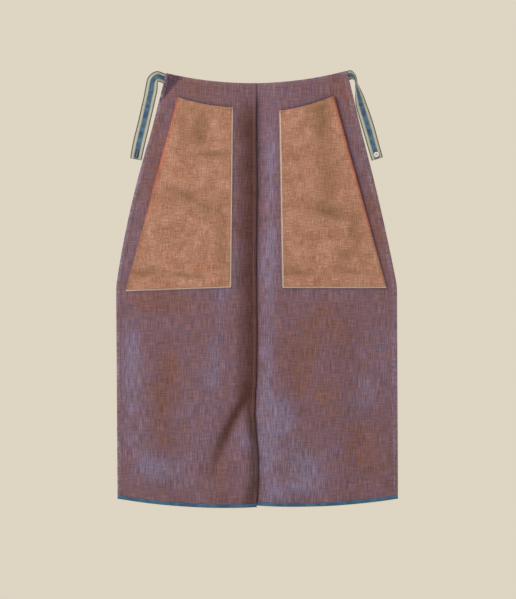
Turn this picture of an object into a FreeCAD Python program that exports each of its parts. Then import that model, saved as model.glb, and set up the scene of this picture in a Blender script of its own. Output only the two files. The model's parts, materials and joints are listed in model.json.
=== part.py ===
# A half apron of two front panels lapped at a centre seam, with two patch pockets, a braided hem
# and two tape ties that button together behind the wearer. Millimetres.
#
# +Z is up, the apron faces -Y, and the origin is the middle of the waist edge. Left and right are
# those of someone who looks at the front. The panels hang flat apart from one valley, a vertical
# fold that runs back to the centre seam. Each tie is made in its hanging position about the
# hinge where it turns down from its sewn end.

import FreeCAD, Part
import Sketcher

import os
import re

SIZES = {
    # Cloth, thread and the clearance between layers that are sewn together.
    "cloth_thickness": 1.2,
    "layer_gap": 0.3,
    "thread_width": 0.8,
    "thread_height": 0.4,
    # How far a layer is made past the outline that it is then cut to.
    "trim_margin": 40.0,
    # Outline of the two panels, measured from the origin.
    "waist_half_width": 190.0,
    "left_corner_rise": 21.0,
    "right_corner_rise": 26.0,
    "waist_sag": 6.0,
    "left_flare_half_width": 222.0,
    "left_flare_drop": 105.0,
    "left_flare_bulge": 6.5,
    "right_flare_half_width": 219.5,
    "right_flare_drop": 98.0,
    "right_flare_bulge": 3.0,
    "hip_half_width": 295.0,
    "hip_drop": 426.0,
    "left_hem_half_width": 292.0,
    "right_hem_half_width": 297.0,
    "side_drop": 873.0,
    "left_centre_drop": 891.0,
    "right_centre_drop": 888.0,
    "hem_sag": 8.0,
    # Centre seam and the valley that it lies in.
    "lap_width": 14.0,
    "valley_depth": 15.0,
    "valley_half_width": 46.0,
    "seam_stitch_inset": 5.0,
    # Hems and braid.
    "waist_stitch_drop": 9.5,
    "side_stitch_inset": 8.0,
    "braid_width": 6.5,
    "braid_thickness": 1.2,
    # Left pocket: four corners and the dip of its mouth.
    "left_pocket_outer_top": 165.0,
    "left_pocket_outer_top_drop": 30.0,
    "left_pocket_inner_top": 50.0,
    "left_pocket_inner_top_drop": 51.0,
    "left_pocket_inner_bottom": 54.0,
    "left_pocket_inner_bottom_drop": 429.0,
    "left_pocket_outer_bottom": 275.0,
    "left_pocket_outer_bottom_drop": 437.0,
    # Right pocket.
    "right_pocket_outer_top": 162.0,
    "right_pocket_outer_top_drop": 27.0,
    "right_pocket_inner_top": 48.5,
    "right_pocket_inner_top_drop": 58.0,
    "right_pocket_inner_bottom": 55.0,
    "right_pocket_inner_bottom_drop": 430.0,
    "right_pocket_outer_bottom": 273.0,
    "right_pocket_outer_bottom_drop": 430.0,
    # Both pockets.
    "mouth_dip": 4.0,
    "pocket_stand_off": 8.2,
    "pocket_stitch_inset": 3.0,
    # Tie tape.
    "tape_width": 22.0,
    "tape_thickness": 1.0,
    "tape_stand_off": 1.4,
    "fold_half_length": 9.0,
    "fold_gap": 0.4,
    "bend_clearance": 0.6,
    "end_stitch_inset": 2.2,
    "anchor_stitch_side": 13.0,
    # Left tie: where it turns down from the panel's corner, its lean in degrees, and its lengths.
    "left_turn_out": 25.0,
    "left_turn_below": 11.0,
    "left_sewn_length": 43.0,
    "left_lean": 12.6,
    "left_upper_length": 90.0,
    "left_free_length": 174.5,
    "buttonhole_length": 15.0,
    "buttonhole_slit": 1.0,
    "buttonhole_edge": 5.5,
    "buttonhole_rim": 1.6,
    # Right tie and its button.
    "right_turn_out": 16.5,
    "right_turn_below": 12.0,
    "right_sewn_length": 35.0,
    "right_lean": 15.3,
    "right_upper_length": 93.0,
    "right_free_length": 180.0,
    "button_inset": 9.5,
    "button_diameter": 10.8,
    "button_thickness": 2.4,
    "button_dish_depth": 0.7,
    "button_dish_diameter": 6.6,
    "button_edge_radius": 0.8,
    "button_hole_diameter": 1.6,
    "button_hole_spacing": 2.8,
    "shank_length": 1.8,
    "shank_diameter": 2.2,
    "shank_gap": 0.3,
    "button_thread_diameter": 0.9,
}

doc = FreeCAD.newDocument("apron")
sheet = doc.addObject("Spreadsheet::Sheet", "Sizes")
for row, (alias, size) in enumerate(SIZES.items(), start=1):
    sheet.set(f"A{row}", alias)
    sheet.set(f"B{row}", str(size))
    sheet.setAlias(f"B{row}", alias)
doc.recompute()

sub_parts = []


def bound(expression):
    """The expression with every size's name read from the sheet."""
    return re.sub(r"[a-z_]+", lambda word: f"Sizes.{word[0]}" if word[0] in SIZES else word[0], expression)


def number(expression):
    """What the expression comes to."""
    return float(sheet.evalExpression(bound(expression)))


def bind(thing, setting, expression):
    """Ties one setting of a document object to the sheet."""
    thing.setExpression(setting, bound(expression))


def end_of(sketch, side, point):
    """Which end of a side of the sketch lies at the point: 1 for its start, 2 for its end."""
    return 1 if (sketch.getPoint(side, 1) - point).Length < (sketch.getPoint(side, 2) - point).Length else 2


def tie_point(sketch, side, end, across, up):
    """Ties one point of a sketch to the sheet, by its distances from the origin."""
    for kind, expression in (("DistanceX", across), ("DistanceY", up)):
        tie = sketch.addConstraint(Sketcher.Constraint(kind, -1, 1, side, end, number(expression)))
        bind(sketch, f"Constraints[{tie}]", expression)


def draw_loop(sketch, corners, arcs=None):
    """Draws a closed loop through the corners, each one tied to the sheet.

    A corner is a pair of expressions. arcs holds, by the number of the corner it leaves, each side
    that is an arc: how far its middle stands off the chord, to the left of the way round.
    """
    arcs = arcs or {}
    points = [FreeCAD.Vector(number(across), number(up), 0) for across, up in corners]
    count = len(points)
    first = sketch.GeometryCount
    for index, start in enumerate(points):
        end = points[(index + 1) % count]
        if index in arcs:
            chord = end - start
            aside = FreeCAD.Vector(-chord.y, chord.x, 0).normalize() * number(arcs[index])
            sketch.addGeometry(Part.Arc(start, (start + end) * 0.5 + aside, end))
        else:
            sketch.addGeometry(Part.LineSegment(start, end))
    for index, start in enumerate(points):
        side = first + index
        before = first + (index - 1) % count
        here = end_of(sketch, side, start)
        sketch.addConstraint(
            Sketcher.Constraint("Coincident", before, end_of(sketch, before, start), side, here)
        )
        tie_point(sketch, side, here, *corners[index])
    for index, height in arcs.items():
        (x1, y1), (x2, y2) = corners[index], corners[(index + 1) % count]
        chord = f"sqrt((({x2}) - ({x1}))^2 + (({y2}) - ({y1}))^2)"
        middle_across = f"(({x1}) + ({x2})) / 2 - (({y2}) - ({y1})) * ({height}) / {chord}"
        middle_up = f"(({y1}) + ({y2})) / 2 + (({x2}) - ({x1})) * ({height}) / {chord}"
        place = FreeCAD.Vector(number(middle_across), number(middle_up), 0)
        middle = sketch.addGeometry(Part.Point(place), True)
        sketch.addConstraint(Sketcher.Constraint("PointOnObject", middle, 1, first + index))
        tie_point(sketch, middle, 1, middle_across, middle_up)


def draw_circle(sketch, across, up, diameter):
    """Draws a circle whose middle and diameter are tied to the sheet."""
    middle = FreeCAD.Vector(number(across), number(up), 0)
    circle = sketch.addGeometry(Part.Circle(middle, FreeCAD.Vector(0, 0, 1), number(diameter) / 2))
    tie_point(sketch, circle, 3, across, up)
    tie = sketch.addConstraint(Sketcher.Constraint("Diameter", circle, number(diameter)))
    bind(sketch, f"Constraints[{tie}]", diameter)


def front_view(name):
    """A sketch of the document seen from the front: across is X and up is Z."""
    sketch = doc.addObject("Sketcher::SketchObject", name)
    sketch.Placement = FreeCAD.Placement(FreeCAD.Vector(), FreeCAD.Rotation(FreeCAD.Vector(1, 0, 0), 90))
    return sketch


def swept(name, sketch, forward, back):
    """A solid swept from a sketch, both ways along its normal."""
    solid = doc.addObject("Part::Extrusion", name)
    solid.Base = sketch
    solid.DirMode = "Normal"
    solid.Solid = True
    bind(solid, "LengthFwd", forward)
    bind(solid, "LengthRev", back)
    return solid


def draped_piece(label, outline, arcs, plan):
    """A layer that follows the valley: its outline from the front, cut from its plan from above."""
    cut = front_view(f"{label}_outline")
    draw_loop(cut, outline, arcs)
    layer = doc.addObject("Sketcher::SketchObject", f"{label}_plan")
    draw_loop(layer, plan)
    piece = doc.addObject("Part::Common", label)
    above, below = "right_corner_rise + trim_margin", "left_centre_drop + trim_margin"
    piece.Base = swept(f"{label}_layer", layer, above, below)
    piece.Tool = swept(f"{label}_cut", cut, "trim_margin", "valley_depth + trim_margin")
    piece.Label = label
    sub_parts.append(piece)
    return piece


def body_of(label, across="0", back="0", up="0", lean="0"):
    """A body whose XZ plane is set down at a place in the apron, leaned about Y."""
    body = doc.addObject("PartDesign::Body", label)
    body.Label = label
    body.Placement.Rotation = FreeCAD.Rotation(FreeCAD.Vector(0, 1, 0), 1)
    bind(body, ".Placement.Base.x", across)
    bind(body, ".Placement.Base.y", back)
    bind(body, ".Placement.Base.z", up)
    bind(body, ".Placement.Rotation.Angle", lean)
    sub_parts.append(body)
    return body


def sketch_on(body, role="XZ_Plane"):
    """A new sketch on one of the body's own origin planes."""
    sketch = body.newObject("Sketcher::SketchObject", f"{body.Name}_sketch")
    plane = next(feature for feature in body.Origin.OriginFeatures if feature.Role == role)
    sketch.AttachmentSupport = (plane, [""])
    sketch.MapMode = "FlatFace"
    return sketch


def pad(body, sketch, length, start="0"):
    """Pads a sketch on the XZ plane forwards, from a distance in front of that plane."""
    sketch.AttachmentOffset = FreeCAD.Placement()
    bind(sketch, ".AttachmentOffset.Base.z", start)
    feature = body.newObject("PartDesign::Pad", f"{body.Name}_pad")
    feature.Profile = sketch
    bind(feature, "Length", length)
    sketch.Visibility = False
    return feature


def flat_piece(label, outline, thickness, arcs=None, **place):
    """A flat layer: its outline from the front, as thick as it is said to be, forwards of its place."""
    body = body_of(label, **place)
    sketch = sketch_on(body)
    draw_loop(sketch, outline, arcs)
    pad(body, sketch, thickness)
    return body


# Panels. Each one's plan is a band one cloth thick: flat at the side, then back into the valley.

PLAN_REACH = "hip_half_width + trim_margin"


def left_plan(front, back, seam_edge="0"):
    """The plan of a layer on the left side, between two distances behind the panel's front face."""
    slope = f"valley_depth * (valley_half_width + ({seam_edge})) / valley_half_width"
    return [
        (f"-({PLAN_REACH})", front),
        ("-valley_half_width", front),
        (seam_edge, f"{front} + {slope}"),
        (seam_edge, f"{back} + {slope}"),
        ("-valley_half_width", back),
        (f"-({PLAN_REACH})", back),
    ]


# The right panel's face turns in the seam, behind the left panel, at this place.
SEAM_ACROSS = "(cloth_thickness + layer_gap)"
SEAM_BACK = f"(valley_depth * (1 + {SEAM_ACROSS} / valley_half_width) + cloth_thickness + layer_gap)"


def right_plan(front, back):
    """The plan of a layer on the right side, as for the left, up to the turn in the seam."""
    return [
        (SEAM_ACROSS, f"{front} + {SEAM_BACK}"),
        ("valley_half_width", front),
        (PLAN_REACH, front),
        (PLAN_REACH, back),
        ("valley_half_width", back),
        (SEAM_ACROSS, f"{back} + {SEAM_BACK}"),
    ]


def make_left_panel():
    outline = [
        ("-waist_half_width", "left_corner_rise"),
        ("0", "0"),
        ("0", "-left_centre_drop"),
        ("-left_hem_half_width", "-side_drop"),
        ("-hip_half_width", "-hip_drop"),
        ("-left_flare_half_width", "-left_flare_drop"),
    ]
    arcs = {0: "-waist_sag", 2: "hem_sag", 4: "left_flare_bulge"}
    draped_piece("left_front_panel", outline, arcs, left_plan("0", "cloth_thickness"))


def make_right_panel():
    outline = [
        ("-lap_width", "0"),
        ("0", "0"),
        ("waist_half_width", "right_corner_rise"),
        ("right_flare_half_width", "-right_flare_drop"),
        ("hip_half_width", "-hip_drop"),
        ("right_hem_half_width", "-side_drop"),
        ("0", "-right_centre_drop"),
        ("-lap_width", "-right_centre_drop"),
    ]
    arcs = {1: "-waist_sag", 3: "right_flare_bulge", 5: "hem_sag"}
    lap_back = f"{SEAM_BACK} - (lap_width + {SEAM_ACROSS}) * valley_depth / valley_half_width"
    plan = right_plan("0", "cloth_thickness")
    plan[5:] = [
        (SEAM_ACROSS, f"{SEAM_BACK} + cloth_thickness"),
        ("-lap_width", f"{lap_back} + cloth_thickness"),
        ("-lap_width", lap_back),
    ]
    draped_piece("right_front_panel", outline, arcs, plan)


# Stitching. Each row is one bead of thread that lies on the layer it was sewn through.


def make_centre_seam_thread():
    near = "-seam_stitch_inset"
    far = "-seam_stitch_inset - thread_width"
    outline = [
        (near, "-waist_stitch_drop - thread_width"),
        (near, "-right_centre_drop + braid_width + thread_width"),
        (far, "-right_centre_drop + braid_width + thread_width"),
        (far, "-waist_stitch_drop - thread_width"),
    ]
    draped_piece("centre_seam_thread", outline, {}, left_plan("-thread_height", "0"))


def make_waist_hem_thread():
    end = "waist_half_width - side_stitch_inset"
    left_rise = "left_corner_rise - waist_stitch_drop"
    right_rise = "right_corner_rise - waist_stitch_drop"
    outline = [
        (f"-({end})", left_rise),
        ("0", "-waist_stitch_drop"),
        (end, right_rise),
        (end, f"{right_rise} + thread_width"),
        ("0", "-waist_stitch_drop + thread_width"),
        (f"-({end})", f"{left_rise} + thread_width"),
    ]
    arcs = {0: "-waist_sag", 1: "-waist_sag", 3: "waist_sag", 4: "waist_sag"}
    left_half = left_plan("-thread_height", "0")
    right_half = right_plan("-thread_height", "0")
    plan = left_half[:3] + right_half[:4] + right_half[4:] + left_half[3:]
    draped_piece("waist_hem_thread", outline, arcs, plan)


def make_side_hem_thread(side, sign):
    """One side's row, from the waist hem down to the braid, inside the panel's edge."""
    hem_slope = f"({side}_centre_drop - side_drop + 4 * hem_sag) / {side}_hem_half_width"
    high = f"{side}_corner_rise - waist_stitch_drop - 2 * thread_width"

    def row(inset):
        return [
            (f"{sign} (waist_half_width - ({inset}))", high),
            (f"{sign} ({side}_flare_half_width - ({inset}))", f"-{side}_flare_drop"),
            (f"{sign} (hip_half_width - ({inset}))", "-hip_drop"),
            (f"{sign} ({side}_hem_half_width - ({inset}))",
             f"-side_drop + braid_width + layer_gap - ({inset}) * {hem_slope}"),
        ]

    edge = row("side_stitch_inset")
    inner = row("side_stitch_inset + thread_width")
    outline = edge + inner[::-1]
    out, back = ("-", "") if sign == "-" else ("", "-")
    arcs = {1: f"{out} {side}_flare_bulge", 5: f"{back} {side}_flare_bulge"}
    flat_piece(f"{side}_side_hem_thread", outline, "thread_height", arcs)


# Braid along the hem, one length on each panel, and the row of thread that holds it.


def hem_band(side, sign, centre, low, high):
    """A band that follows one panel's hem, between two heights above it."""
    outline = [
        (f"{sign} {side}_hem_half_width", f"-side_drop + {low}"),
        (centre, f"-{side}_centre_drop + {low}"),
        (centre, f"-{side}_centre_drop + {high}"),
        (f"{sign} {side}_hem_half_width", f"-side_drop + {high}"),
    ]
    down = "-hem_sag" if sign == "-" else "hem_sag"
    up = "hem_sag" if sign == "-" else "-hem_sag"
    return outline, {0: down, 2: up}


def make_braid(side, sign, centre, plan):
    outline, arcs = hem_band(side, sign, centre, "0", "braid_width")
    draped_piece(f"{side}_hem_braid", outline, arcs, plan("-braid_thickness", "0"))
    low, high = "(braid_width - thread_width) / 2", "(braid_width + thread_width) / 2"
    outline, arcs = hem_band(side, sign, centre, low, high)
    front = "-braid_thickness - thread_height"
    draped_piece(f"{side}_hem_braid_thread", outline, arcs, plan(front, "-braid_thickness"))


# Pockets. Each is one cloth shell, open at its mouth and along the panel that it is sewn to.


def pocket_corners(side, sign, inset="0"):
    """Outer top, inner top, inner bottom and outer bottom, drawn in by the inset."""
    names = [("outer_top", "-"), ("inner_top", "+"), ("inner_bottom", "+"), ("outer_bottom", "-")]
    corners = []
    for name, inwards in names:
        lift = f" + {inset}" if name.endswith("bottom") else ""
        across = f"{sign} ({side}_pocket_{name} {inwards} {inset})"
        corners.append((across, f"-{side}_pocket_{name}_drop{lift}"))
    return corners


def make_pocket(side, sign):
    dip = "-mouth_dip" if sign == "-" else "mouth_dip"
    body = flat_piece(f"{side}_pocket", pocket_corners(side, sign), "pocket_stand_off", {0: dip})
    doc.recompute()
    block = body.Tip
    whole = block.Shape.Volume
    open_faces = []
    for index, face in enumerate(block.Shape.Faces, start=1):
        normal = face.normalAt(0.5 * sum(face.ParameterRange[:2]), 0.5 * sum(face.ParameterRange[2:]))
        if normal.y > 0.9 or normal.z > 0.5:
            open_faces.append(f"Face{index}")
    shell = body.newObject("PartDesign::Thickness", f"{side}_pocket_shell")
    shell.Base = (block, open_faces)
    shell.Join = "Intersection"
    shell.Reversed = True
    bind(shell, "Value", "cloth_thickness")
    doc.recompute()
    if not 0 < shell.Shape.Volume < 0.5 * whole:
        raise ValueError(f"{side}_pocket is not a shell")


def make_pocket_thread(side, sign):
    outer = pocket_corners(side, sign, "pocket_stitch_inset")
    inner = pocket_corners(side, sign, "(pocket_stitch_inset + thread_width)")
    below_mouth = "mouth_dip + thread_width"
    row = [outer[0], outer[3], outer[2], outer[1], inner[1], inner[2], inner[3], inner[0]]
    outline = [
        (across, f"{up} - ({below_mouth})" if index in (0, 3, 4, 7) else up)
        for index, (across, up) in enumerate(row)
    ]
    flat_piece(f"{side}_pocket_thread", outline, "thread_height", back="-pocket_stand_off")


# Ties. The sewn end goes behind the panel's corner, and the tape folds over and hangs in front.

TAPE_HALF = "tape_width / 2"
SEWN_FRONT = "cloth_thickness + layer_gap"
SEWN_BACK = f"{SEWN_FRONT} + tape_thickness"
FOLD_DEPTH = f"{SEWN_BACK} + tape_stand_off - fold_gap"
TIE_BACK = "-tape_stand_off"

# Half the space left between a tie's two lengths, so that they fold square without touching.
BEND_ROOM = "(tape_thickness + bend_clearance) / 2"


def turn(side, sign):
    """Where the tape turns down, beyond the corner of the panel and a little below it."""
    return {
        "across": f"{sign} (waist_half_width + {side}_turn_out)",
        "up": f"{side}_corner_rise - {side}_turn_below",
    }


def make_sewn_end(side, sign):
    inwards = "+" if sign == "-" else "-"
    body = body_of(f"{side}_tie_sewn_end", back=SEWN_BACK, **turn(side, sign))
    strip = sketch_on(body)
    draw_loop(strip, [
        ("0", f"-{TAPE_HALF}"),
        (f"{inwards} {side}_sewn_length", f"-{TAPE_HALF}"),
        (f"{inwards} {side}_sewn_length", TAPE_HALF),
        ("0", TAPE_HALF),
    ])
    pad(body, strip, "tape_thickness")
    fold = sketch_on(body)
    draw_loop(fold, [
        (f"{sign} fold_half_length", f"-{TAPE_HALF}"),
        (f"{inwards} fold_half_length", f"-{TAPE_HALF}"),
        (f"{inwards} fold_half_length", TAPE_HALF),
        (f"{sign} fold_half_length", TAPE_HALF),
    ])
    pad(body, fold, FOLD_DEPTH)


def make_anchor_thread(side, sign):
    """A square of stitching on the back of the sewn end."""
    body = body_of(
        f"{side}_tie_anchor_thread",
        across=f"{sign} (waist_half_width + {side}_turn_out - {side}_sewn_length + tape_width / 2)",
        up=turn(side, sign)["up"],
        back=f"{SEWN_BACK} + thread_height",
    )
    ring = sketch_on(body)
    for half in ("(anchor_stitch_side / 2)", "(anchor_stitch_side / 2 - thread_width)"):
        draw_loop(ring, [(f"-{half}", f"-{half}"), (half, f"-{half}"), (half, half), (f"-{half}", half)])
    pad(body, ring, "thread_height")


def hanging(side, sign, back=TIE_BACK):
    """The place of anything on the free tape: about its turn, leaned outwards."""
    return {
        "back": back,
        "lean": f"{side}_lean" if sign == "-" else f"-{side}_lean",
        **turn(side, sign),
    }


def make_upper_tape(side, sign):
    low = f"-({side}_upper_length - {BEND_ROOM})"
    outline = [(TAPE_HALF, "0"), (f"-{TAPE_HALF}", "0"), (f"-{TAPE_HALF}", low), (TAPE_HALF, low)]
    flat_piece(f"{side}_tie_upper", outline, "tape_thickness", {0: f"-{TAPE_HALF}"}, **hanging(side, sign))


def make_lower_tape(side, sign):
    high = f"-({side}_upper_length + {BEND_ROOM})"
    low = f"-{side}_free_length"
    outline = [(TAPE_HALF, high), (f"-{TAPE_HALF}", high), (f"-{TAPE_HALF}", low), (TAPE_HALF, low)]
    return flat_piece(f"{side}_tie_lower", outline, "tape_thickness", **hanging(side, sign))


def make_end_thread(side, sign):
    """The row across the tape that holds its turned-up end."""
    low = f"-{side}_free_length + end_stitch_inset"
    half = f"{TAPE_HALF} - thread_width"
    outline = [(half, low), (half, f"{low} + thread_width"), (f"-({half})", f"{low} + thread_width"),
               (f"-({half})", low)]
    place = hanging(side, sign, f"{TIE_BACK} - tape_thickness")
    flat_piece(f"{side}_tie_end_thread", outline, "thread_height", **place)


def slit_outline(margin):
    """The buttonhole's slit, or its worked rim with a margin round it."""
    half = f"(buttonhole_slit / 2 + {margin})"
    low = f"-left_free_length + buttonhole_edge - {margin}"
    high = f"-left_free_length + buttonhole_edge + buttonhole_length + {margin}"
    return [(half, low), (half, high), (f"-{half}", high), (f"-{half}", low)]


def make_buttonhole():
    tape = next(body for body in sub_parts if body.Label == "left_tie_lower")
    doc.recompute()
    whole = tape.Shape.Volume
    slit = sketch_on(tape)
    draw_loop(slit, slit_outline("0"))
    cut = tape.newObject("PartDesign::Pocket", "buttonhole")
    cut.Profile = slit
    cut.Reversed = True
    bind(cut, "Length", "tape_thickness")
    doc.recompute()
    if tape.Shape.Volume >= whole:
        raise ValueError("the buttonhole cuts nothing")
    body = body_of("buttonhole_thread", **hanging("left", "-", f"{TIE_BACK} - tape_thickness"))
    rim = sketch_on(body)
    draw_loop(rim, slit_outline("buttonhole_rim"))
    draw_loop(rim, slit_outline("layer_gap"))
    pad(body, rim, "thread_height")


# Button, sewn to the right tie by a wound thread shank.

BUTTON_BACK = f"{TIE_BACK} - tape_thickness - shank_length"


def button_place(back):
    """On the right tie's middle line, a little above its end."""
    along = "(right_free_length - button_inset)"
    start = turn("right", "")
    return {
        "across": f"{start['across']} + {along} * sin(right_lean)",
        "back": back,
        "up": f"{start['up']} - {along} * cos(right_lean)",
        "lean": "-right_lean",
    }


def revolve(body, outline, kind="PartDesign::Revolution"):
    """Turns an outline of (radius, distance behind the plane) about the body's Y axis."""
    sketch = sketch_on(body, "XY_Plane")
    draw_loop(sketch, outline)
    turned = body.newObject(kind, f"{body.Name}_turned")
    turned.Profile = sketch
    turned.ReferenceAxis = (sketch, ["V_Axis"])
    turned.Angle = 360
    return turned


def make_button():
    body = body_of("tie_button", **button_place(BUTTON_BACK))
    rim = "button_diameter / 2"
    dish = "button_dish_diameter / 2"
    revolve(body, [
        ("0", "0"),
        (f"{rim} - button_edge_radius", "0"),
        (rim, "-button_edge_radius"),
        (rim, "-button_thickness + button_edge_radius"),
        (f"{rim} - button_edge_radius", "-button_thickness"),
        (dish, "-button_thickness"),
        (f"{dish} - button_dish_depth", "-button_thickness + button_dish_depth"),
        ("0", "-button_thickness + button_dish_depth"),
    ])
    doc.recompute()
    whole = body.Shape.Volume
    holes = sketch_on(body)
    draw_circle(holes, "button_hole_spacing / 2", "0", "button_hole_diameter")
    draw_circle(holes, "-button_hole_spacing / 2", "0", "button_hole_diameter")
    drilled = body.newObject("PartDesign::Pocket", "button_holes")
    drilled.Profile = holes
    drilled.Reversed = True
    bind(drilled, "Length", "button_thickness")
    doc.recompute()
    if body.Shape.Volume >= whole:
        raise ValueError("the button's holes cut nothing")


def make_button_thread():
    """The wound shank, a leg up each hole and the bar between them on the button's face."""
    body = body_of("button_thread", **button_place(BUTTON_BACK))
    revolve(body, [
        ("0", "0"),
        ("shank_diameter / 2 + button_thread_diameter", "0"),
        ("shank_diameter / 2", "button_thread_diameter"),
        ("shank_diameter / 2", "shank_length - shank_gap"),
        ("0", "shank_length - shank_gap"),
    ])
    face = "(button_thickness - button_dish_depth)"
    legs = sketch_on(body)
    draw_circle(legs, "button_hole_spacing / 2", "0", "button_thread_diameter")
    draw_circle(legs, "-button_hole_spacing / 2", "0", "button_thread_diameter")
    pad(body, legs, f"{face} + button_thread_diameter")
    bar = sketch_on(body)
    half_length = "(button_hole_spacing + button_thread_diameter) / 2"
    half_width = "button_thread_diameter / 2"
    draw_loop(bar, [
        (f"-{half_length}", f"-{half_width}"),
        (half_length, f"-{half_width}"),
        (half_length, half_width),
        (f"-{half_length}", half_width),
    ])
    pad(body, bar, "button_thread_diameter", start=face)


make_left_panel()
make_right_panel()
make_centre_seam_thread()
make_waist_hem_thread()
make_braid("left", "-", "0", left_plan)
make_braid("right", "", SEAM_ACROSS, right_plan)
for side, sign in (("left", "-"), ("right", "")):
    make_side_hem_thread(side, sign)
    make_pocket(side, sign)
    make_pocket_thread(side, sign)
    make_sewn_end(side, sign)
    make_anchor_thread(side, sign)
    make_upper_tape(side, sign)
    make_lower_tape(side, sign)
    make_end_thread(side, sign)
make_buttonhole()
make_button()
make_button_thread()
doc.recompute()

for thing in doc.Objects:
    if {"Invalid", "Error"} & set(thing.State):
        raise ValueError(f"{thing.Label} failed: {thing.State}")
for piece in sub_parts:
    if piece.Shape.isNull() or not piece.Shape.isValid() or not piece.Shape.Solids:
        raise ValueError(f"{piece.Label} has no valid solid")

os.makedirs("parts", exist_ok=True)
for piece in sub_parts:
    piece.Shape.exportStep(f"parts/{piece.Label}.step")
    print(f"{piece.Label}: {len(piece.Shape.Solids)} solid(s), {piece.Shape.Volume:.0f} mm3")
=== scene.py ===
import json
import math

import bpy
import numpy as np
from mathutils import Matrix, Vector


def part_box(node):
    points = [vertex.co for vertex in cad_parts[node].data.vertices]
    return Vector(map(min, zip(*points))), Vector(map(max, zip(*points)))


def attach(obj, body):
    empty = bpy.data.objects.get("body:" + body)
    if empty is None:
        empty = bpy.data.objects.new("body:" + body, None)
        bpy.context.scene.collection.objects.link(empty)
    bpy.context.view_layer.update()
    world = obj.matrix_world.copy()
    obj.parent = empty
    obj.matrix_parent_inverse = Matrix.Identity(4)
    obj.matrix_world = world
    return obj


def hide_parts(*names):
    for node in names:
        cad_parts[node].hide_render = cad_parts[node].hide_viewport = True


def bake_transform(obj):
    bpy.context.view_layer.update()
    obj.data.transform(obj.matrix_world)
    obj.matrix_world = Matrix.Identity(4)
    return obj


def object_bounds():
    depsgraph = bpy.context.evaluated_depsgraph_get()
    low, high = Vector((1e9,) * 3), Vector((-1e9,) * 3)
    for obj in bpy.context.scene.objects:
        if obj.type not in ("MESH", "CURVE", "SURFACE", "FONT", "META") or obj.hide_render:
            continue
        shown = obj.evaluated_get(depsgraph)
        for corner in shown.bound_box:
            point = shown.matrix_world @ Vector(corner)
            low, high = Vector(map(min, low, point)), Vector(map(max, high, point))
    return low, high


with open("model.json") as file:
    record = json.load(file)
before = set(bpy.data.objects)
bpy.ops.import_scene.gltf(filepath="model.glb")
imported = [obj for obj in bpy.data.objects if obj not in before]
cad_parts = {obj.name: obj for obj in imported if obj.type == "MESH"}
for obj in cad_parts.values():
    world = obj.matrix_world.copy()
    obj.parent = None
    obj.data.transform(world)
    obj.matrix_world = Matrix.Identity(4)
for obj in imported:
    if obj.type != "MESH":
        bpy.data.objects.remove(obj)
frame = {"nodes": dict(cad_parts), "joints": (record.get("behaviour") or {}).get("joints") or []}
cad_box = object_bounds()

# The looks of a half apron: two faded cotton panels lapped at a centre seam, two patch pockets, a
# braid along the hem and two striped tape ties, one with a buttonhole and one with a button.
# Everything is in metres in the frame's own axes: +X across, +Z up, and the front faces -Y.

# How thick cloth and tape are, half the tape's width, the step from one panel to the other behind it,
# and the spacing of a cloth's grid.
CLOTH = 0.0009
TAPE = 0.0009
TAPE_HALF = 0.012
LAYER_STEP = 0.0023
GRID_STEP = 0.004
FRONT = np.array([0.0, -1.0, 0.0])
BACK = -FRONT
SIDES = ("left", "right")


# Numbers and fields.


def smooth(low, high, value):
    """0 below low, 1 above high, and a soft step between."""
    t = np.clip((np.asarray(value, float) - low) / (high - low), 0, 1)
    return t * t * (3 - 2 * t)


def bell(value, middle, width):
    """1 at the middle, falling off softly over the width."""
    return np.exp(-(((value - middle) / width) ** 2))


def ripples(x, z, seed, shortest, longest, upright=1.0, count=14):
    """A smooth seeded field, mostly between -1 and 1. Waves run up and down where upright is small."""
    rng = np.random.default_rng(seed)
    total = np.zeros(np.broadcast(x, z).shape)
    for _ in range(count):
        length = shortest * (longest / shortest) ** rng.random()
        angle = rng.uniform(0, math.pi)
        kx = math.cos(angle) * 2 * math.pi / length
        kz = math.sin(angle) * 2 * math.pi / length * upright
        total += np.cos(kx * x + kz * z + rng.uniform(0, 2 * math.pi))
    return total / math.sqrt(count / 2) / 1.5


def patch(x, z, middle_x, middle_z, wide, high, turn=0.0):
    """A soft oval blotch. The turn leans its long side, in radians."""
    dx, dz = x - middle_x, z - middle_z
    along = dx * math.cos(turn) + dz * math.sin(turn)
    across = dz * math.cos(turn) - dx * math.sin(turn)
    return np.exp(-((along / wide) ** 2) - (across / high) ** 2)


def unit(vectors):
    """The same directions, each of length 1."""
    return vectors / np.maximum(np.linalg.norm(vectors, axis=-1, keepdims=True), 1e-12)


# Reading shapes from the CAD nodes.


def node_points(node):
    return np.array([vertex.co for vertex in frame["nodes"][node].data.vertices])


def corner(node, across, up):
    """The node's vertex that lies furthest in a direction seen from the front, as (x, z)."""
    points = node_points(node)
    return points[np.argmax(points[:, 0] * across + points[:, 2] * up)][[0, 2]]


def edge_curve(node, start, end, axis, pick, count=160):
    """The node's outline between two corners: (x, z) at even steps along one axis.

    axis is 0 to step across or 2 to step down, and pick takes min or max of the other coordinate.
    """
    points = node_points(node)
    ends = np.array([edge.vertices[:] for edge in frame["nodes"][node].data.edges])
    a, b = points[ends[:, 0]], points[ends[:, 1]]
    other = 2 - axis
    low, high = (start[0], end[0]) if axis == 0 else (start[1], end[1])
    places = np.linspace(low, high, count)
    found = np.empty(count)
    for index, place in enumerate(places):
        inside = (a[:, axis] - place) * (b[:, axis] - place) < 0
        share = (place - a[inside, axis]) / (b[inside, axis] - a[inside, axis])
        values = a[inside, other] + share * (b[inside, other] - a[inside, other])
        found[index] = pick(values) if len(values) else np.nan
    found[0], found[-1] = (start[1], end[1]) if axis == 0 else (start[0], end[0])
    known = ~np.isnan(found)
    rising = slice(None, None, 1 if high > low else -1)
    found = np.interp(places, places[known][rising], found[known][rising])
    return np.stack([places, found] if axis == 0 else [found, places], axis=1)


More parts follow.
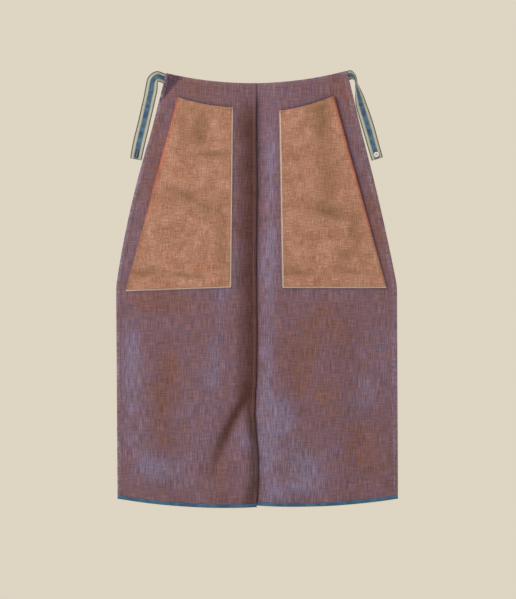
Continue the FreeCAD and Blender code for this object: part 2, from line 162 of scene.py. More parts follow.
def soften(curve, reach):
    """Rounds the corners along a curve, and keeps its two ends."""
    kernel = np.hanning(2 * reach + 3)[1:-1]
    kernel /= kernel.sum()
    result = curve.copy()
    for column in range(2):
        padded = np.pad(curve[:, column], reach, mode="reflect", reflect_type="odd")
        result[:, column] = np.convolve(padded, kernel, mode="valid")
    result[0], result[-1] = curve[0], curve[-1]
    return result


def straight(start, end, count=160):
    share = np.linspace(0, 1, count)[:, None]
    return np.asarray(start) * (1 - share) + np.asarray(end) * share


def chain(places, count):
    """The coordinates along a chain of places, with so many steps between each two."""
    steps = np.linspace(0, len(places) - 1, count * (len(places) - 1) + 1)
    return [np.interp(steps, range(len(places)), numbers) for numbers in np.transpose(places)]


class Patch:
    """A piece of cloth bounded by four curves seen from the front: left, right, top and bottom."""

    def __init__(self, left, right, top, bottom):
        self.left, self.right, self.top, self.bottom = left, right, top, bottom

    @staticmethod
    def _at(curve, share):
        steps = np.linspace(0, 1, len(curve))
        return np.stack([np.interp(share, steps, curve[:, 0]), np.interp(share, steps, curve[:, 1])], -1)

    def place(self, u, v):
        """(x, z) at a share u of the way across and v of the way down."""
        u, v = np.broadcast_arrays(np.asarray(u, float), np.asarray(v, float))
        a, b = u[..., None], v[..., None]
        sides = (1 - a) * self._at(self.left, v) + a * self._at(self.right, v)
        ends = (1 - b) * self._at(self.top, u) + b * self._at(self.bottom, u)
        flat = (1 - b) * ((1 - a) * self.top[0] + a * self.top[-1])
        flat = flat + b * ((1 - a) * self.bottom[0] + a * self.bottom[-1])
        spot = sides + ends - flat
        return spot[..., 0], spot[..., 1]

    def width(self, v):
        return np.abs(self._at(self.right, v)[..., 0] - self._at(self.left, v)[..., 0])

    def height(self, u):
        return np.abs(self._at(self.top, u)[..., 1] - self._at(self.bottom, u)[..., 1])

    def distances(self, u, v):
        """How far a place is from the left, right, top and bottom edges."""
        across, down = self.width(v), self.height(u)
        return u * across, (1 - u) * across, v * down, (1 - v) * down

    def grid(self, near_left, near_right, near_top, near_bottom, step=GRID_STEP):
        """Shares u and v of a grid that has lines at set distances inside each edge."""
        rows = int(self.height(0.5) / step)
        columns = int(self.width(0.5) / step)
        v_line = spaced(near_top, near_bottom, self.height(0.5), rows)
        u_line = spaced(near_left, near_right, self.width(0.5), columns)
        u = np.array([spaced(near_left, near_right, self.width(v), columns) for v in v_line])
        v = np.array([spaced(near_top, near_bottom, self.height(u), rows) for u in u_line]).T
        return u, v


def spaced(near, far, length, count):
    """Shares of a length: at set distances from both ends, and evenly between."""
    first, last = np.array(near) / length, 1 - np.array(far)[::-1] / length
    middle = np.linspace(first[-1], last[0], count)[1:-1]
    return np.concatenate([first, middle, last])


# Making meshes.


def new_mesh(name, points, faces, material, uv=None, values=None, flat=False):
    """A mesh object. uv is a pair for each point, and values holds named numbers for each point."""
    mesh = bpy.data.meshes.new(name)
    mesh.from_pydata(np.asarray(points).tolist(), [], [list(map(int, face)) for face in faces])
    mesh.validate()
    if uv is not None:
        layer = mesh.uv_layers.new(name="cloth")
        corners = np.empty(len(mesh.loops), int)
        mesh.loops.foreach_get("vertex_index", corners)
        layer.data.foreach_set("uv", np.asarray(uv)[corners].astype(np.float32).ravel())
    for key, numbers in (values or {}).items():
        attribute = mesh.attributes.new(key, "FLOAT", "POINT")
        attribute.data.foreach_set("value", np.asarray(numbers, np.float32).ravel())
    mesh.polygons.foreach_set("use_smooth", [not flat] * len(mesh.polygons))
    mesh.materials.append(material)
    mesh.update()
    thing = bpy.data.objects.new(name, mesh)
    bpy.context.scene.collection.objects.link(thing)
    return thing


def grid_normals(front):
    """Unit normals of a grid of points, all on its back."""
    return unit(np.cross(np.gradient(front, axis=1), np.gradient(front, axis=0)))


def shell(name, front, thickness, material, uv, values=None, hole=None, behind=None):
    """A closed sheet of cloth: a grid of front points, the same points set back, and its edges.

    hole marks the cells of the grid that are left open, and behind gives values for the back that
    differ from the front's.
    """
    rows, columns = front.shape[:2]
    back = front + grid_normals(front) * np.broadcast_to(thickness, (rows, columns))[..., None]
    kept = np.ones((rows - 1, columns - 1), bool) if hole is None else ~hole
    index = np.arange(rows * columns).reshape(rows, columns)
    a, b, c, d = index[:-1, :-1], index[1:, :-1], index[1:, 1:], index[:-1, 1:]
    deep = rows * columns
    faces = [np.stack([a, b, c, d], -1)[kept], np.stack([d, c, b, a], -1)[kept] + deep]
    framed = np.pad(kept, 1)
    for (down, across), (p, q) in {(-1, 0): (d, a), (1, 0): (b, c), (0, -1): (a, b), (0, 1): (c, d)}.items():
        beside = framed[1 + down: rows + down, 1 + across: columns + across]
        rim = kept & ~beside
        faces.append(np.stack([q[rim], p[rim], p[rim] + deep, q[rim] + deep], -1))
    backs = {**(values or {}), **(behind or {})}
    both = {key: np.concatenate([np.ravel(v), np.ravel(backs[key])]) for key, v in (values or {}).items()}
    flat_uv = uv.reshape(-1, 2)
    return new_mesh(name, np.concatenate([front.reshape(-1, 3), back.reshape(-1, 3)]),
                    np.concatenate(faces), material, np.concatenate([flat_uv, flat_uv]), both)


def arc_lengths(path):
    return np.concatenate([[0], np.cumsum(np.linalg.norm(np.diff(path, axis=0), axis=1))])


def along(path, distances):
    """Points and unit directions at distances along a path."""
    lengths = arc_lengths(path)
    spots, ahead, behind = (np.stack([np.interp(distances + step, lengths, path[:, k]) for k in range(3)], -1)
                            for step in (0, 4e-4, -4e-4))
    return spots, unit(ahead - behind)


def ring_faces(rings, sides):
    """The faces round a strand of so many rings of points, with a cap at each end."""
    faces = []
    for ring in range(rings - 1):
        for k in range(sides):
            a, b = ring * sides + k, ring * sides + (k + 1) % sides
            faces.append([a, b, b + sides, a + sides])
    last = (rings - 1) * sides
    return faces + [list(range(sides))[::-1], [last + k for k in range(sides)]]


STITCH_RINGS = ((-1.0, 0.25), (-0.82, 0.8), (-0.3, 1.0), (0.3, 1.0), (0.82, 0.8), (1.0, 0.25))
STITCH_SIDES = STRAND_SIDES = 6


def stitch_mesh(name, middles, headings, outwards, length, radius, material, arch=0.35):
    """Many short lengths of thread in one mesh, each bowed outwards so that its ends go in."""
    middles, headings = np.asarray(middles, float), np.asarray(headings, float)
    outwards = np.broadcast_to(np.asarray(outwards, float), middles.shape)
    outwards = unit(outwards - headings * np.sum(outwards * headings, axis=1, keepdims=True))
    sideways = np.cross(headings, outwards)
    half = np.broadcast_to(np.asarray(length, float) / 2, (len(middles),))[:, None]
    rings = []
    for place, girth in STITCH_RINGS:
        centre = middles + headings * half * place + outwards * radius * (1 - 2 * arch * place ** 2)
        for side in range(STITCH_SIDES):
            angle = 2 * math.pi * side / STITCH_SIDES
            rings.append(centre + (sideways * math.cos(angle) + outwards * math.sin(angle)) * radius * girth)
    points = np.stack(rings, axis=1).reshape(-1, 3)
    each, count = len(rings), len(middles)
    template = ring_faces(len(STITCH_RINGS), STITCH_SIDES)
    faces = [[vertex + each * copy for vertex in face] for copy in range(count) for face in template]
    shares = np.tile(np.repeat([place for place, _ in STITCH_RINGS], STITCH_SIDES), count)
    around = np.tile(np.arange(STITCH_SIDES) / STITCH_SIDES, len(STITCH_RINGS) * count)
    uv = np.stack([around, shares * 0.5 + np.repeat(np.arange(count), each)], -1)
    return new_mesh(name, points, faces, material, uv)


def running_stitches(name, path, material, seed, length=0.0031, pitch=0.0043, radius=0.00038, outward=FRONT):
    """A row of even stitches along a path, each a little out of true as hand guiding leaves them."""
    rng = np.random.default_rng(seed)
    total = arc_lengths(path)[-1]
    places = np.arange(pitch / 2, total - pitch / 2, pitch)
    spots, headings = along(path, places + rng.normal(0, 0.00012, len(places)))
    side = np.cross(headings, outward)
    spots = spots + side * rng.normal(0, 0.00012, len(places))[:, None]
    headings = unit(headings + side * rng.normal(0, 0.035, len(places))[:, None])
    lengths = length * rng.normal(1, 0.06, len(places))
    return stitch_mesh(name, spots, headings, outward, lengths, radius, material)


def tubes_mesh(name, paths, radius, material):
    """Several round strands with closed ends. uv runs round each strand and along it, in metres."""
    points, faces, uv, offset = [], [], [], 0
    for path in paths:
        heading = unit(np.gradient(path, axis=0))
        outward = unit(FRONT - heading * (heading @ FRONT)[:, None])
        side = np.cross(heading, outward)
        rings = [path + (side * math.cos(angle) + outward * math.sin(angle)) * radius
                 for angle in np.linspace(0, 2 * math.pi, STRAND_SIDES, endpoint=False)]
        points.append(np.stack(rings, axis=1).reshape(-1, 3))
        faces += [[vertex + offset for vertex in face] for face in ring_faces(len(path), STRAND_SIDES)]
        uv.append(np.stack([np.tile(np.arange(STRAND_SIDES) / STRAND_SIDES, len(path)),
                            np.repeat(arc_lengths(path), STRAND_SIDES)], -1))
        offset += len(points[-1])
    return new_mesh(name, np.concatenate(points), faces, material, np.concatenate(uv))


def dress(piece, body, slot, *nodes):
    """Fixes a piece to its body, and hides the CAD nodes that it replaces. The slot is not used."""
    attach(piece, body)
    if nodes:
        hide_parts(*nodes)


# Materials.


class Field:
    """A number, colour or vector that varies over a surface: one output of a shader node."""

    def __init__(self, shader, socket):
        self.shader, self.socket = shader, socket

    def math(self, operation, other=0.0):
        return self.shader.node("ShaderNodeMath", {0: self, 1: other}, operation=operation)

    def __add__(self, other):
        return self.math("ADD", other)

    def __mul__(self, other):
        return self.math("MULTIPLY", other)

    def bulges(self, pitch):
        """The round tops of threads that lie side by side at a pitch."""
        return (self * (math.pi / pitch)).math("SINE").math("ABSOLUTE")

    def remap(self, low, high, to_low=0.0, to_high=1.0):
        """A soft step from one value to another, between two values of this field."""
        inputs = {"Value": self, "From Min": low, "From Max": high, "To Min": to_low, "To Max": to_high}
        return self.shader.node("ShaderNodeMapRange", inputs, interpolation_type="SMOOTHSTEP")


class Shader:
    """A material that is built node by node. Its colours are written as they look, 0 to 255."""

    def __init__(self, name, roughness, sheen=0.0, specular=0.25):
        self.material = bpy.data.materials.new(name)
        self.material.use_nodes = True
        self.tree = self.material.node_tree
        self.surface = next(n for n in self.tree.nodes if n.type == "BSDF_PRINCIPLED")
        self.feed(self.surface, {"Roughness": roughness, "Sheen Weight": sheen, "Sheen Roughness": 0.6,
                                 "Specular IOR Level": specular})

    def feed(self, node, inputs):
        for socket, value in inputs.items():
            if isinstance(value, Field):
                self.tree.links.new(value.socket, node.inputs[socket])
            else:
                node.inputs[socket].default_value = value

    def node(self, kind, inputs, output=0, **settings):
        """Adds a node, feeds its inputs, and gives back one of its outputs."""
        node = self.tree.nodes.new(kind)
        for key, value in settings.items():
            setattr(node, key, value)
        self.feed(node, inputs)
        return Field(self, node.outputs[output])

    def number(self, name):
        return self.node("ShaderNodeAttribute", {}, "Fac", attribute_name=name)

    def place(self, kind="Object"):
        return self.node("ShaderNodeTexCoord", {}, kind)

    def scaled(self, vector, scale, shift=(0, 0, 0)):
        return self.node("ShaderNodeMapping", {"Vector": vector, "Scale": scale, "Location": shift})

    def noise(self, vector, scale=1.0, detail=2.0, rough=0.5, distortion=0.0):
        inputs = {"Vector": vector, "Scale": scale, "Detail": detail, "Roughness": rough,
                  "Distortion": distortion}
        return self.node("ShaderNodeTexNoise", inputs, "Fac")

    def split(self, vector):
        node = self.node("ShaderNodeSeparateXYZ", {0: vector}).socket.node
        return Field(self, node.outputs[0]), Field(self, node.outputs[1])

    def mix(self, share, below, above, kind="MIX"):
        below, above = (c if isinstance(c, Field) else colour(*c) for c in (below, above))
        return self.node("ShaderNodeMix", {"Factor": share, 6: below, 7: above}, 2, data_type="RGBA",
                         blend_type=kind)

    def layers(self, base, *coats):
        """A colour with others laid over it in turn, each by its own share."""
        for share, coat in coats:
            base = self.mix(share, base, coat)
        return base

    def shade(self, base, light):
        """A colour made lighter or darker by a number."""
        return self.mix(1.0, base, self.node("ShaderNodeCombineXYZ", {0: light, 1: light, 2: light}),
                        "MULTIPLY")

    def finish(self, base, height, roughness, distance=0.0004, strength=1.0):
        bump = self.node("ShaderNodeBump", {"Distance": distance, "Strength": strength, "Height": height})
        self.feed(self.surface, {"Base Color": base, "Roughness": roughness, "Normal": bump})
        return self.material


# What the studio light makes of a white cloth: each colour is written as it looks, then divided by it.
LIGHT = (0.90, 0.88, 0.70)


def colour(red, green, blue):
    """A colour as it looks, 0 to 255, as the linear albedo that gives it."""
    linear = [((c / 255 + 0.055) / 1.055) ** 2.4 for c in (red, green, blue)]
    return (*[min(c / light, 0.95) for c, light in zip(linear, LIGHT)], 1.0)


def woven(shader, flat, pitch, slub):
    """Plain weave: its height, and the uneven lightness of its threads across and down."""
    across, up = shader.split(flat)
    height = across.bulges(pitch).math("MAXIMUM", up.bulges(pitch) * 0.9)
    long = slub * 18
    upright = shader.noise(shader.scaled(flat, (1 / slub, 1 / long, 1)), rough=0.7)
    level = shader.noise(shader.scaled(flat, (1 / long, 1 / slub, 1), (7, 3, 0)), rough=0.7)
    return height, upright, level


def apron_cloth():
    shader = Shader("apron_cloth", 0.86, sheen=0.12)
    flat = shader.place("UV")
    height, upright, level = woven(shader, flat, 0.0011, 0.0017)
    mottle = shader.noise(flat, 24, 5, 0.62)
    fine = shader.noise(flat, 170, 3, 0.6)
    tone = shader.number("tone") + mottle * 0.7 + fine * 0.7 + upright * 1.1 + level * -0.9 + -0.8
    warm = shader.noise(flat, 45, 4)
    rusty = shader.noise(shader.scaled(flat, (1 / 0.03, 1 / 0.0022, 1)), detail=1)
    bluish = shader.noise(shader.scaled(flat, (1 / 0.0022, 1 / 0.03, 1), (4, 9, 0)), detail=1)
    base = shader.layers((122, 84, 74),
                         (tone.remap(-0.15, 0.5), (118, 90, 95)),
                         (tone.remap(0.5, 1.15), (125, 113, 131)),
                         (warm.remap(0.52, 0.7) * 0.45, (128, 90, 78)),
                         (rusty.remap(0.52, 0.68, 0.0, 0.36), (139, 99, 82)),
                         (bluish.remap(0.52, 0.68, 0.0, 0.36), (102, 92, 122)),
                         # The fold share is painted shade in the valley and its branching fold.
                         (shader.number("fold"), (86, 53, 45)),
                         # Painted shadow by the pockets and along the seam's step, and painted shade in the
                         # top left corner.
                         (shader.number("soil"), (66, 48, 62)))
    light = (upright * 1.8 + 0.1) * (level * 1.6 + 0.2) * height.remap(0.2, 0.75, 0.8, 1.04)
    base = shader.shade(base, light)
    base = shader.mix(shader.number("wear") * fine.remap(0.35, 0.65), base, (158, 148, 158))
    relief = height + (upright + level) * 0.8
    return shader.finish(base, relief, upright.remap(0.3, 0.7, 0.92, 0.78), distance=0.00035, strength=0.8)


def pocket_cloth():
    shader = Shader("pocket_cloth", 0.88, sheen=0.1)
    flat = shader.place("UV")
    height, upright, level = woven(shader, flat, 0.0013, 0.0014)
    mottle = shader.noise(flat, 30, 5, 0.65)
    fine = shader.noise(flat, 300, 3, 0.7)
    base = shader.layers((162, 114, 86),
                         (mottle.remap(0.35, 0.65), (178, 132, 105)),
                         (fine.remap(0.52, 0.68, 0.0, 0.7), (204, 156, 116)),
                         (fine.remap(0.34, 0.48, 0.55, 0.0), (136, 100, 66)),
                         (shader.number("olive") * mottle.remap(0.15, 0.6, 0.6, 1.0), (136, 101, 70)),
                         # Painted shade in the creases, at the mouth's edge and along the hem's turning.
                         (shader.number("soil"), (118, 84, 60)),
                         (shader.number("warm"), (188, 112, 82)))
    light = (upright * 1.5 + 0.25) * (level * 1.5 + 0.25) * height.remap(0.2, 0.75, 0.84, 1.03)
    base = shader.shade(base, light)
    base = shader.mix(shader.number("wear") * fine.remap(0.3, 0.5, 0.6, 1.0), base, (232, 218, 192))
    relief = height + upright + level + fine
    return shader.finish(base, relief, mottle.remap(0.3, 0.7, 0.94, 0.8), strength=0.8)


def striped_tape():
    """Cream twill with a blue stripe down the middle and a dark line at each edge."""
    shader = Shader("striped_tape", 0.75, sheen=0.15)
    flat = shader.place("UV")
    across, up = shader.split(flat)
    twill = (across + up * 0.7).bulges(0.0012)
    warp = shader.noise(shader.scaled(flat, (1 / 0.0009, 1 / 0.02, 1)))
    fade = shader.noise(flat, 70, 3)
    off = across.math("ABSOLUTE")
    edge = off + warp * 0.0008 + -0.0004
    cream = shader.layers((176, 168, 132),
                          (warp.remap(0.3, 0.7), (204, 198, 172)),
                          (fade * 0.6, (172, 180, 150)),
                          (off.remap(0.0066, 0.0052, 0.0, 0.45), (112, 124, 122)))
    blue = shader.layers((38, 64, 92),
                         (fade.remap(0.35, 0.65), (78, 114, 130)),
                         (warp.remap(0.4, 0.8), (92, 126, 138)))
    dark = shader.mix(warp, (52, 62, 62), (96, 102, 90))
    base = shader.layers(cream,
                         (edge.remap(0.0043, 0.0051, 1.0, 0.0), blue),
                         (edge.remap(TAPE_HALF - 0.0026, TAPE_HALF - 0.0018), dark))
    base = shader.shade(base, twill * 0.14 + 0.9)
    # Painted shade where the tapes turn, at their hemmed ends and round the slit.
    base = shader.mix(shader.number("soil"), base, (60, 70, 78))
    return shader.finish(base, twill + warp, warp.remap(0.2, 0.8, 0.82, 0.68), distance=0.00025)


def thread(name, main, light):
    """Twisted thread, with its ply as a fine spiral."""
    shader = Shader(name, 0.6, sheen=0.25)
    around, length = shader.split(shader.place("UV"))
    ply = (around + length * 2.5).bulges(0.5)
    fuzz = shader.noise(shader.place(), 420, 3)
    base = shader.layers(main, (ply * 0.7, light), (fuzz.remap(0.5, 0.8, 0.0, 0.5), light))
    return shader.finish(base, ply, fuzz.remap(0.3, 0.7, 0.7, 0.5), distance=0.00012)


def braid_cloth():
    shader = Shader("hem_braid", 0.62, sheen=0.25)
    around, length = shader.split(shader.place("UV"))
    ply = (around * 3.0 + length * 900.0).bulges(1.0)
    fade = shader.noise(shader.place(), 55, 3)
    base = shader.layers((24, 66, 102), (fade.remap(0.38, 0.62), (54, 110, 142)), (ply * 0.4, (92, 150, 172)))
    return shader.finish(base, ply, fade.remap(0.3, 0.7, 0.7, 0.55), distance=0.0002)


def button_shell():
    shader = Shader("button_shell", 0.28, specular=0.6)
    shader.feed(shader.surface, {"Coat Weight": 0.3, "Coat Roughness": 0.2})
    place = shader.place()
    cloud = shader.noise(place, 380, 3, distortion=1.2)
    rings = shader.node("ShaderNodeTexWave", {"Vector": place, "Scale": 160, "Distortion": 3.0}, "Fac",
                        bands_direction="DIAGONAL")
    base = shader.layers((222, 214, 196), (cloud.remap(0.3, 0.7), (240, 236, 226)),
                         (rings * 0.25, (214, 208, 204)))
    return shader.finish(base, cloud, rings.remap(0.2, 0.8, 0.24, 0.36), distance=0.00005)


def floor_material():
    shader = Shader("studio_floor", 0.9, specular=0.1)
    spots = shader.noise(shader.place(), 3, 4)
    pale, dark = (0.48, 0.45, 0.385, 1), (0.44, 0.41, 0.35, 1)
    base = shader.node("ShaderNodeMix", {"Factor": spots, 6: dark, 7: pale}, 2, data_type="RGBA")
    shader.feed(shader.surface, {"Base Color": base})
    return shader.material


# Camera, light and floor. The view is square on to the front, from far off.

VIEW_MIDDLE = Vector((0.003, 0.0, -0.4547))
VIEW_WIDTH = 1.0836
VIEW_SHAPE = 516 / 599
CAMERA_AWAY = 16.0


def make_camera():
    camera = bpy.data.cameras.new("camera")
    camera.lens = camera.sensor_width * CAMERA_AWAY / (VIEW_WIDTH / VIEW_SHAPE)
    camera.clip_end = 60
    holder = bpy.data.objects.new("camera", camera)
    holder.location = VIEW_MIDDLE + Vector((0, -CAMERA_AWAY, 0))
    holder.rotation_euler = (math.pi / 2, 0, 0)
    bpy.context.scene.collection.objects.link(holder)
    bpy.context.scene.camera = holder


def make_area_light(name, place, size, watts, tint):
    light = bpy.data.lights.new(name, "AREA")
    light.size = size
    light.energy = watts
    light.color = tint
    holder = bpy.data.objects.new(name, light)
    holder.location = place
    holder.rotation_euler = (VIEW_MIDDLE - Vector(place)).to_track_quat("-Z", "Y").to_euler()
    bpy.context.scene.collection.objects.link(holder)


def make_studio():
    world = bpy.data.worlds.new("studio")
    world.use_nodes = True
    sky = world.node_tree.nodes["Background"]
    sky.inputs["Color"].default_value = (0.73, 0.665, 0.54, 1)
    bpy.context.scene.world = world
    bpy.context.scene.view_settings.view_transform = "Standard"
    make_area_light("key", (-2.6, -2.4, 1.3), 0.7, 70, (1.0, 0.97, 0.92))
    make_area_light("back_fill", (1.6, 2.6, 0.9), 1.6, 24, (0.95, 0.97, 1.0))
    floor_height = cad_box[0][2] - 0.27
    bpy.ops.mesh.primitive_circle_add(vertices=96, radius=1.7, fill_type="NGON",
                                      location=(0, 0, floor_height))
    floor = bpy.context.object
    floor.name = "studio_floor"
    floor.data.materials.append(floor_material())


make_camera()
make_studio()

CLOTH_LOOK = apron_cloth()
POCKET_LOOK = pocket_cloth()
TAPE_LOOK = striped_tape()
SEAM_THREAD = thread("seam_thread", (120, 98, 104), (168, 152, 156))
POCKET_THREAD = thread("pocket_thread", (128, 96, 72), (170, 138, 108))
EDGE_THREAD = thread("pocket_edge_thread", (212, 202, 176), (240, 234, 216))
RED_THREAD = thread("pocket_red_thread", (196, 88, 58), (224, 124, 86))
BRAID_LOOK = braid_cloth()
BRAID_THREAD = thread("braid_thread", (26, 54, 84), (58, 96, 124))
TAPE_THREAD = thread("tape_thread", (170, 160, 132), (216, 208, 184))
BUTTONHOLE_THREAD = thread("buttonhole_thread", (20, 34, 62), (44, 66, 96))
BUTTON_THREAD = thread("button_thread", (92, 84, 74), (140, 130, 112))


# How the cloth hangs: the front face's y over the whole apron.

VALLEY_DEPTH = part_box("left_front_panel")[1].y - 0.0012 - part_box("left_pocket")[1].y
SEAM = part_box("left_front_panel")[1].x
# Where the branching fold leaves the valley, how far down it runs and how far across.
BRANCH_TOP = -0.645
BRANCH_FALL = 0.21
BRANCH_SPAN = 0.084


def seam_line(z):
    """X of the left panel's folded edge, which wavers a little towards the hem."""
    return SEAM - 0.0032 * bell(z, -0.695, 0.05) + 0.0030 * bell(z, -0.81, 0.05) + 0.0006 * np.sin(z * 21)


def branch_line(z):
    """X of the fold that leaves the seam on the lower left, at each height."""
    share = np.clip((BRANCH_TOP - z) / BRANCH_FALL, 0, 1)
    return SEAM - 0.013 - BRANCH_SPAN * (1 - (1 - share) ** 1.6)


def branch_strength(z):
    """The fold grows out of the valley, and fades towards the hem."""
    return smooth(BRANCH_TOP + 0.03, BRANCH_TOP - 0.03, z) * smooth(-0.86, -0.72, z)


def valley_reach(z):
    """How far left of the seam the valley starts."""
    reach = 0.047 - 0.029 * smooth(-0.64, -0.725, z) + 0.002 * smooth(-0.75, -0.80, z)
    return reach + 0.016 * smooth(-0.835, -0.88, z)


def valley_fall(z):
    """How deep the valley is: shallow at the waist, where the hem holds it."""
    return VALLEY_DEPTH * (0.45 + 0.55 * smooth(0.0, -0.11, z))


# The flutes of the hanging cloth, each as its depth, its place across and its width.
FLUTES = [(-0.0035, -0.108, 0.055), (0.0030, -0.165, 0.035), (-0.0030, -0.225, 0.04), (0.0022, -0.275, 0.022),
          (0.0030, 0.105, 0.035), (-0.0028, 0.165, 0.045), (0.0026, 0.225, 0.03), (-0.002, 0.27, 0.025)]


def folds(x, z):
    """Everything but the valley: soft flutes below the pockets, and fine wrinkles."""
    low = smooth(-0.30, -0.62, z)
    y = sum(depth * low * bell(x, middle, width) for depth, middle, width in FLUTES)
    y += 0.0007 * ripples(x, z, 11, 0.05, 0.16, upright=0.35)
    y += 0.00028 * ripples(x, z, 12, 0.016, 0.045, upright=0.6, count=22)
    return y


def left_front(x, z):
    """The left panel's front face, from its side to the folded edge at the seam."""
    seam = seam_line(z)
    inwards = np.clip((x - seam + valley_reach(z)) / valley_reach(z), 0, 1)
    y = valley_fall(z) * inwards ** 1.5
    from_line = x - branch_line(z) - 0.006
    crease = np.where(from_line < 0, np.exp(-(from_line / 0.014) ** 2), np.exp(-(from_line / 0.022) ** 2))
    y = y + 0.0085 * branch_strength(z) * crease
    y = y - 0.0045 * bell(x, seam - 0.030, 0.014) * smooth(-0.70, -0.78, z)
    y = y - 0.0013 * bell(x, seam - 0.0026, 0.0020)
    return y + folds(x, z) * smooth(seam, seam - 0.05, x)


def right_front(x, z):
    """The right panel's front face. Left of the seam it lies behind the left panel."""
    reach = 0.052
    outwards = np.clip((SEAM + reach - x) / reach, 0, 1)
    y = (valley_fall(z) + LAYER_STEP) * outwards ** 1.35
    y = y + folds(x, z) * smooth(SEAM + 0.004, SEAM + 0.05, x)
    seam = seam_line(z)
    behind = left_front(np.minimum(x, seam), z) + LAYER_STEP
    return np.where(x < seam + 0.0015, np.maximum(behind, y), y)


def front_of(side, x, z):
    return left_front(x, z) if side == "left" else right_front(x, z)


def on_front(side, x, z, proud=0.0):
    return np.stack([x, front_of(side, x, z) - proud, z], -1)


# Panels.

# Distances inside an edge where a panel's grid has lines, so that each turning keeps its shape.
SIDE_HEM = [0, 0.0005, 0.0014, 0.0085, 0.0095]
WAIST_HEM = [0, 0.0005, 0.0014, 0.0112, 0.0122]
BOTTOM_HEM = [0, 0.0005, 0.0014, 0.0070, 0.0080]
LEFT_SEAM = [0, 0.0004, 0.0012, 0.0028, 0.0045, 0.0065, 0.0105, 0.0125,
             0.017, 0.0215, 0.026, 0.0305, 0.035, 0.04]
RIGHT_LAP = [0, 0.0008, 0.002, 0.009, 0.0118, 0.0128, 0.0138, 0.0148, 0.0158, 0.018, 0.021, 0.025, 0.03]


def panel_patch(side):
    """The panel's four edges, read from its CAD node."""
    node = f"{side}_front_panel"
    out = -1 if side == "left" else 1
    top_out = corner(node, out * 0.3, 1)
    low_out = corner(node, out, -1)
    pick, inner_side = (np.min, 1) if side == "left" else (np.max, 0)
    outer = soften(edge_curve(node, top_out, low_out, 2, pick), 3)
    inner_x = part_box(node)[inner_side].x
    top_in, low_in = np.array([inner_x, 0.0]), np.array([inner_x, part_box(node)[0].z])
    inner = straight(top_in, low_in)
    if side == "left":
        inner[1:-1, 0] = seam_line(inner[1:-1, 1])
        return Patch(outer, inner, edge_curve(node, top_out, top_in, 0, np.max),
                     edge_curve(node, low_out, low_in, 0, np.min))
    return Patch(inner, outer, edge_curve(node, top_in, top_out, 0, np.max),
                 edge_curve(node, low_in, low_out, 0, np.min))


PANELS = {side: panel_patch(side) for side in SIDES}


# Blotches of faded and of rusty cloth, each as its place (x, z), half width and half height.
# The two tall narrow blotches just right of the seam in the first list are painted highlight on the lit side
# of the valley.
FADED_AND_LIT = [(-0.088, -0.59, 0.028, 0.10), (-0.215, -0.810, 0.05, 0.035), (-0.262, -0.60, 0.022, 0.11),
         (0.024, -0.55, 0.018, 0.26), (0.10, -0.82, 0.035, 0.04), (-0.075, -0.30, 0.012, 0.16),
         (0.03, -0.2, 0.014, 0.16), (0.22, -0.66, 0.03, 0.05), (0.060, -0.70, 0.03, 0.05),
         (0.05, -0.86, 0.03, 0.02)]
RUSTY = [(-0.180, -0.62, 0.022, 0.07), (-0.205, -0.69, 0.02, 0.06), (0.14, -0.485, 0.03, 0.03),
         (0.108, -0.55, 0.02, 0.05), (-0.185, -0.75, 0.025, 0.03), (0.255, -0.30, 0.03, 0.2),
         (-0.21, -0.20, 0.02, 0.16), (0.19, -0.02, 0.04, 0.05), (-0.155, 0.0, 0.07, 0.03),
         (-0.08, -0.80, 0.03, 0.05), (0.22, -0.77, 0.03, 0.05), (0.14, -0.66, 0.03, 0.05),
         (-0.175, -0.46, 0.05, 0.02), (-0.23, -0.46, 0.03, 0.02), (0.09, -0.63, 0.02, 0.04)]


def panel_tone(x, z):
    """How far the cloth has faded: near 0 it is rusty brown, and near 1 a pale lavender. Right of the seam it
    also carries painted highlight.
    """
    tone = 0.40 + 0.18 * ripples(x, z, 21, 0.09, 0.35, upright=0.6) + 0.10 * smooth(-0.35, -0.8, z)
    for change, blotches in ((0.56, FADED_AND_LIT), (-0.48, RUSTY)):
        tone = tone + sum(change * patch(x, z, *blotch) for blotch in blotches)
    return np.clip(tone, 0, 1)


def fold_shade(side, x, z):
    """Painted shade inside the valley and along the fold that branches from it."""
    fade_in = smooth(-0.015, -0.09, z)
    seam = seam_line(z)
    if side == "left":
        reach = valley_reach(z)
        start = seam - reach
        wander = 0.004 * ripples(x * 0, z, 25, 0.05, 0.2)
        band = 0.55 * smooth(start, start + 0.35 * reach, x + wander)
        band = band + 0.45 * smooth(start + 0.3 * reach, start + 0.75 * reach, x + wander)
        band = band * (1 - 0.3 * bell(x, seam - 0.0026, 0.0012)) * (1 - 0.3 * smooth(-0.72, -0.80, z))
        line = branch_line(z) - 0.001
        branch = bell(x, line, 0.0125 - 0.003 * smooth(-0.72, -0.82, z)) * branch_strength(z)
        return np.clip(0.95 * band * fade_in + 0.95 * branch * (1 - band), 0, 1)
    return 0.75 * smooth(seam + 0.0035, seam + 0.0005, x) * fade_in


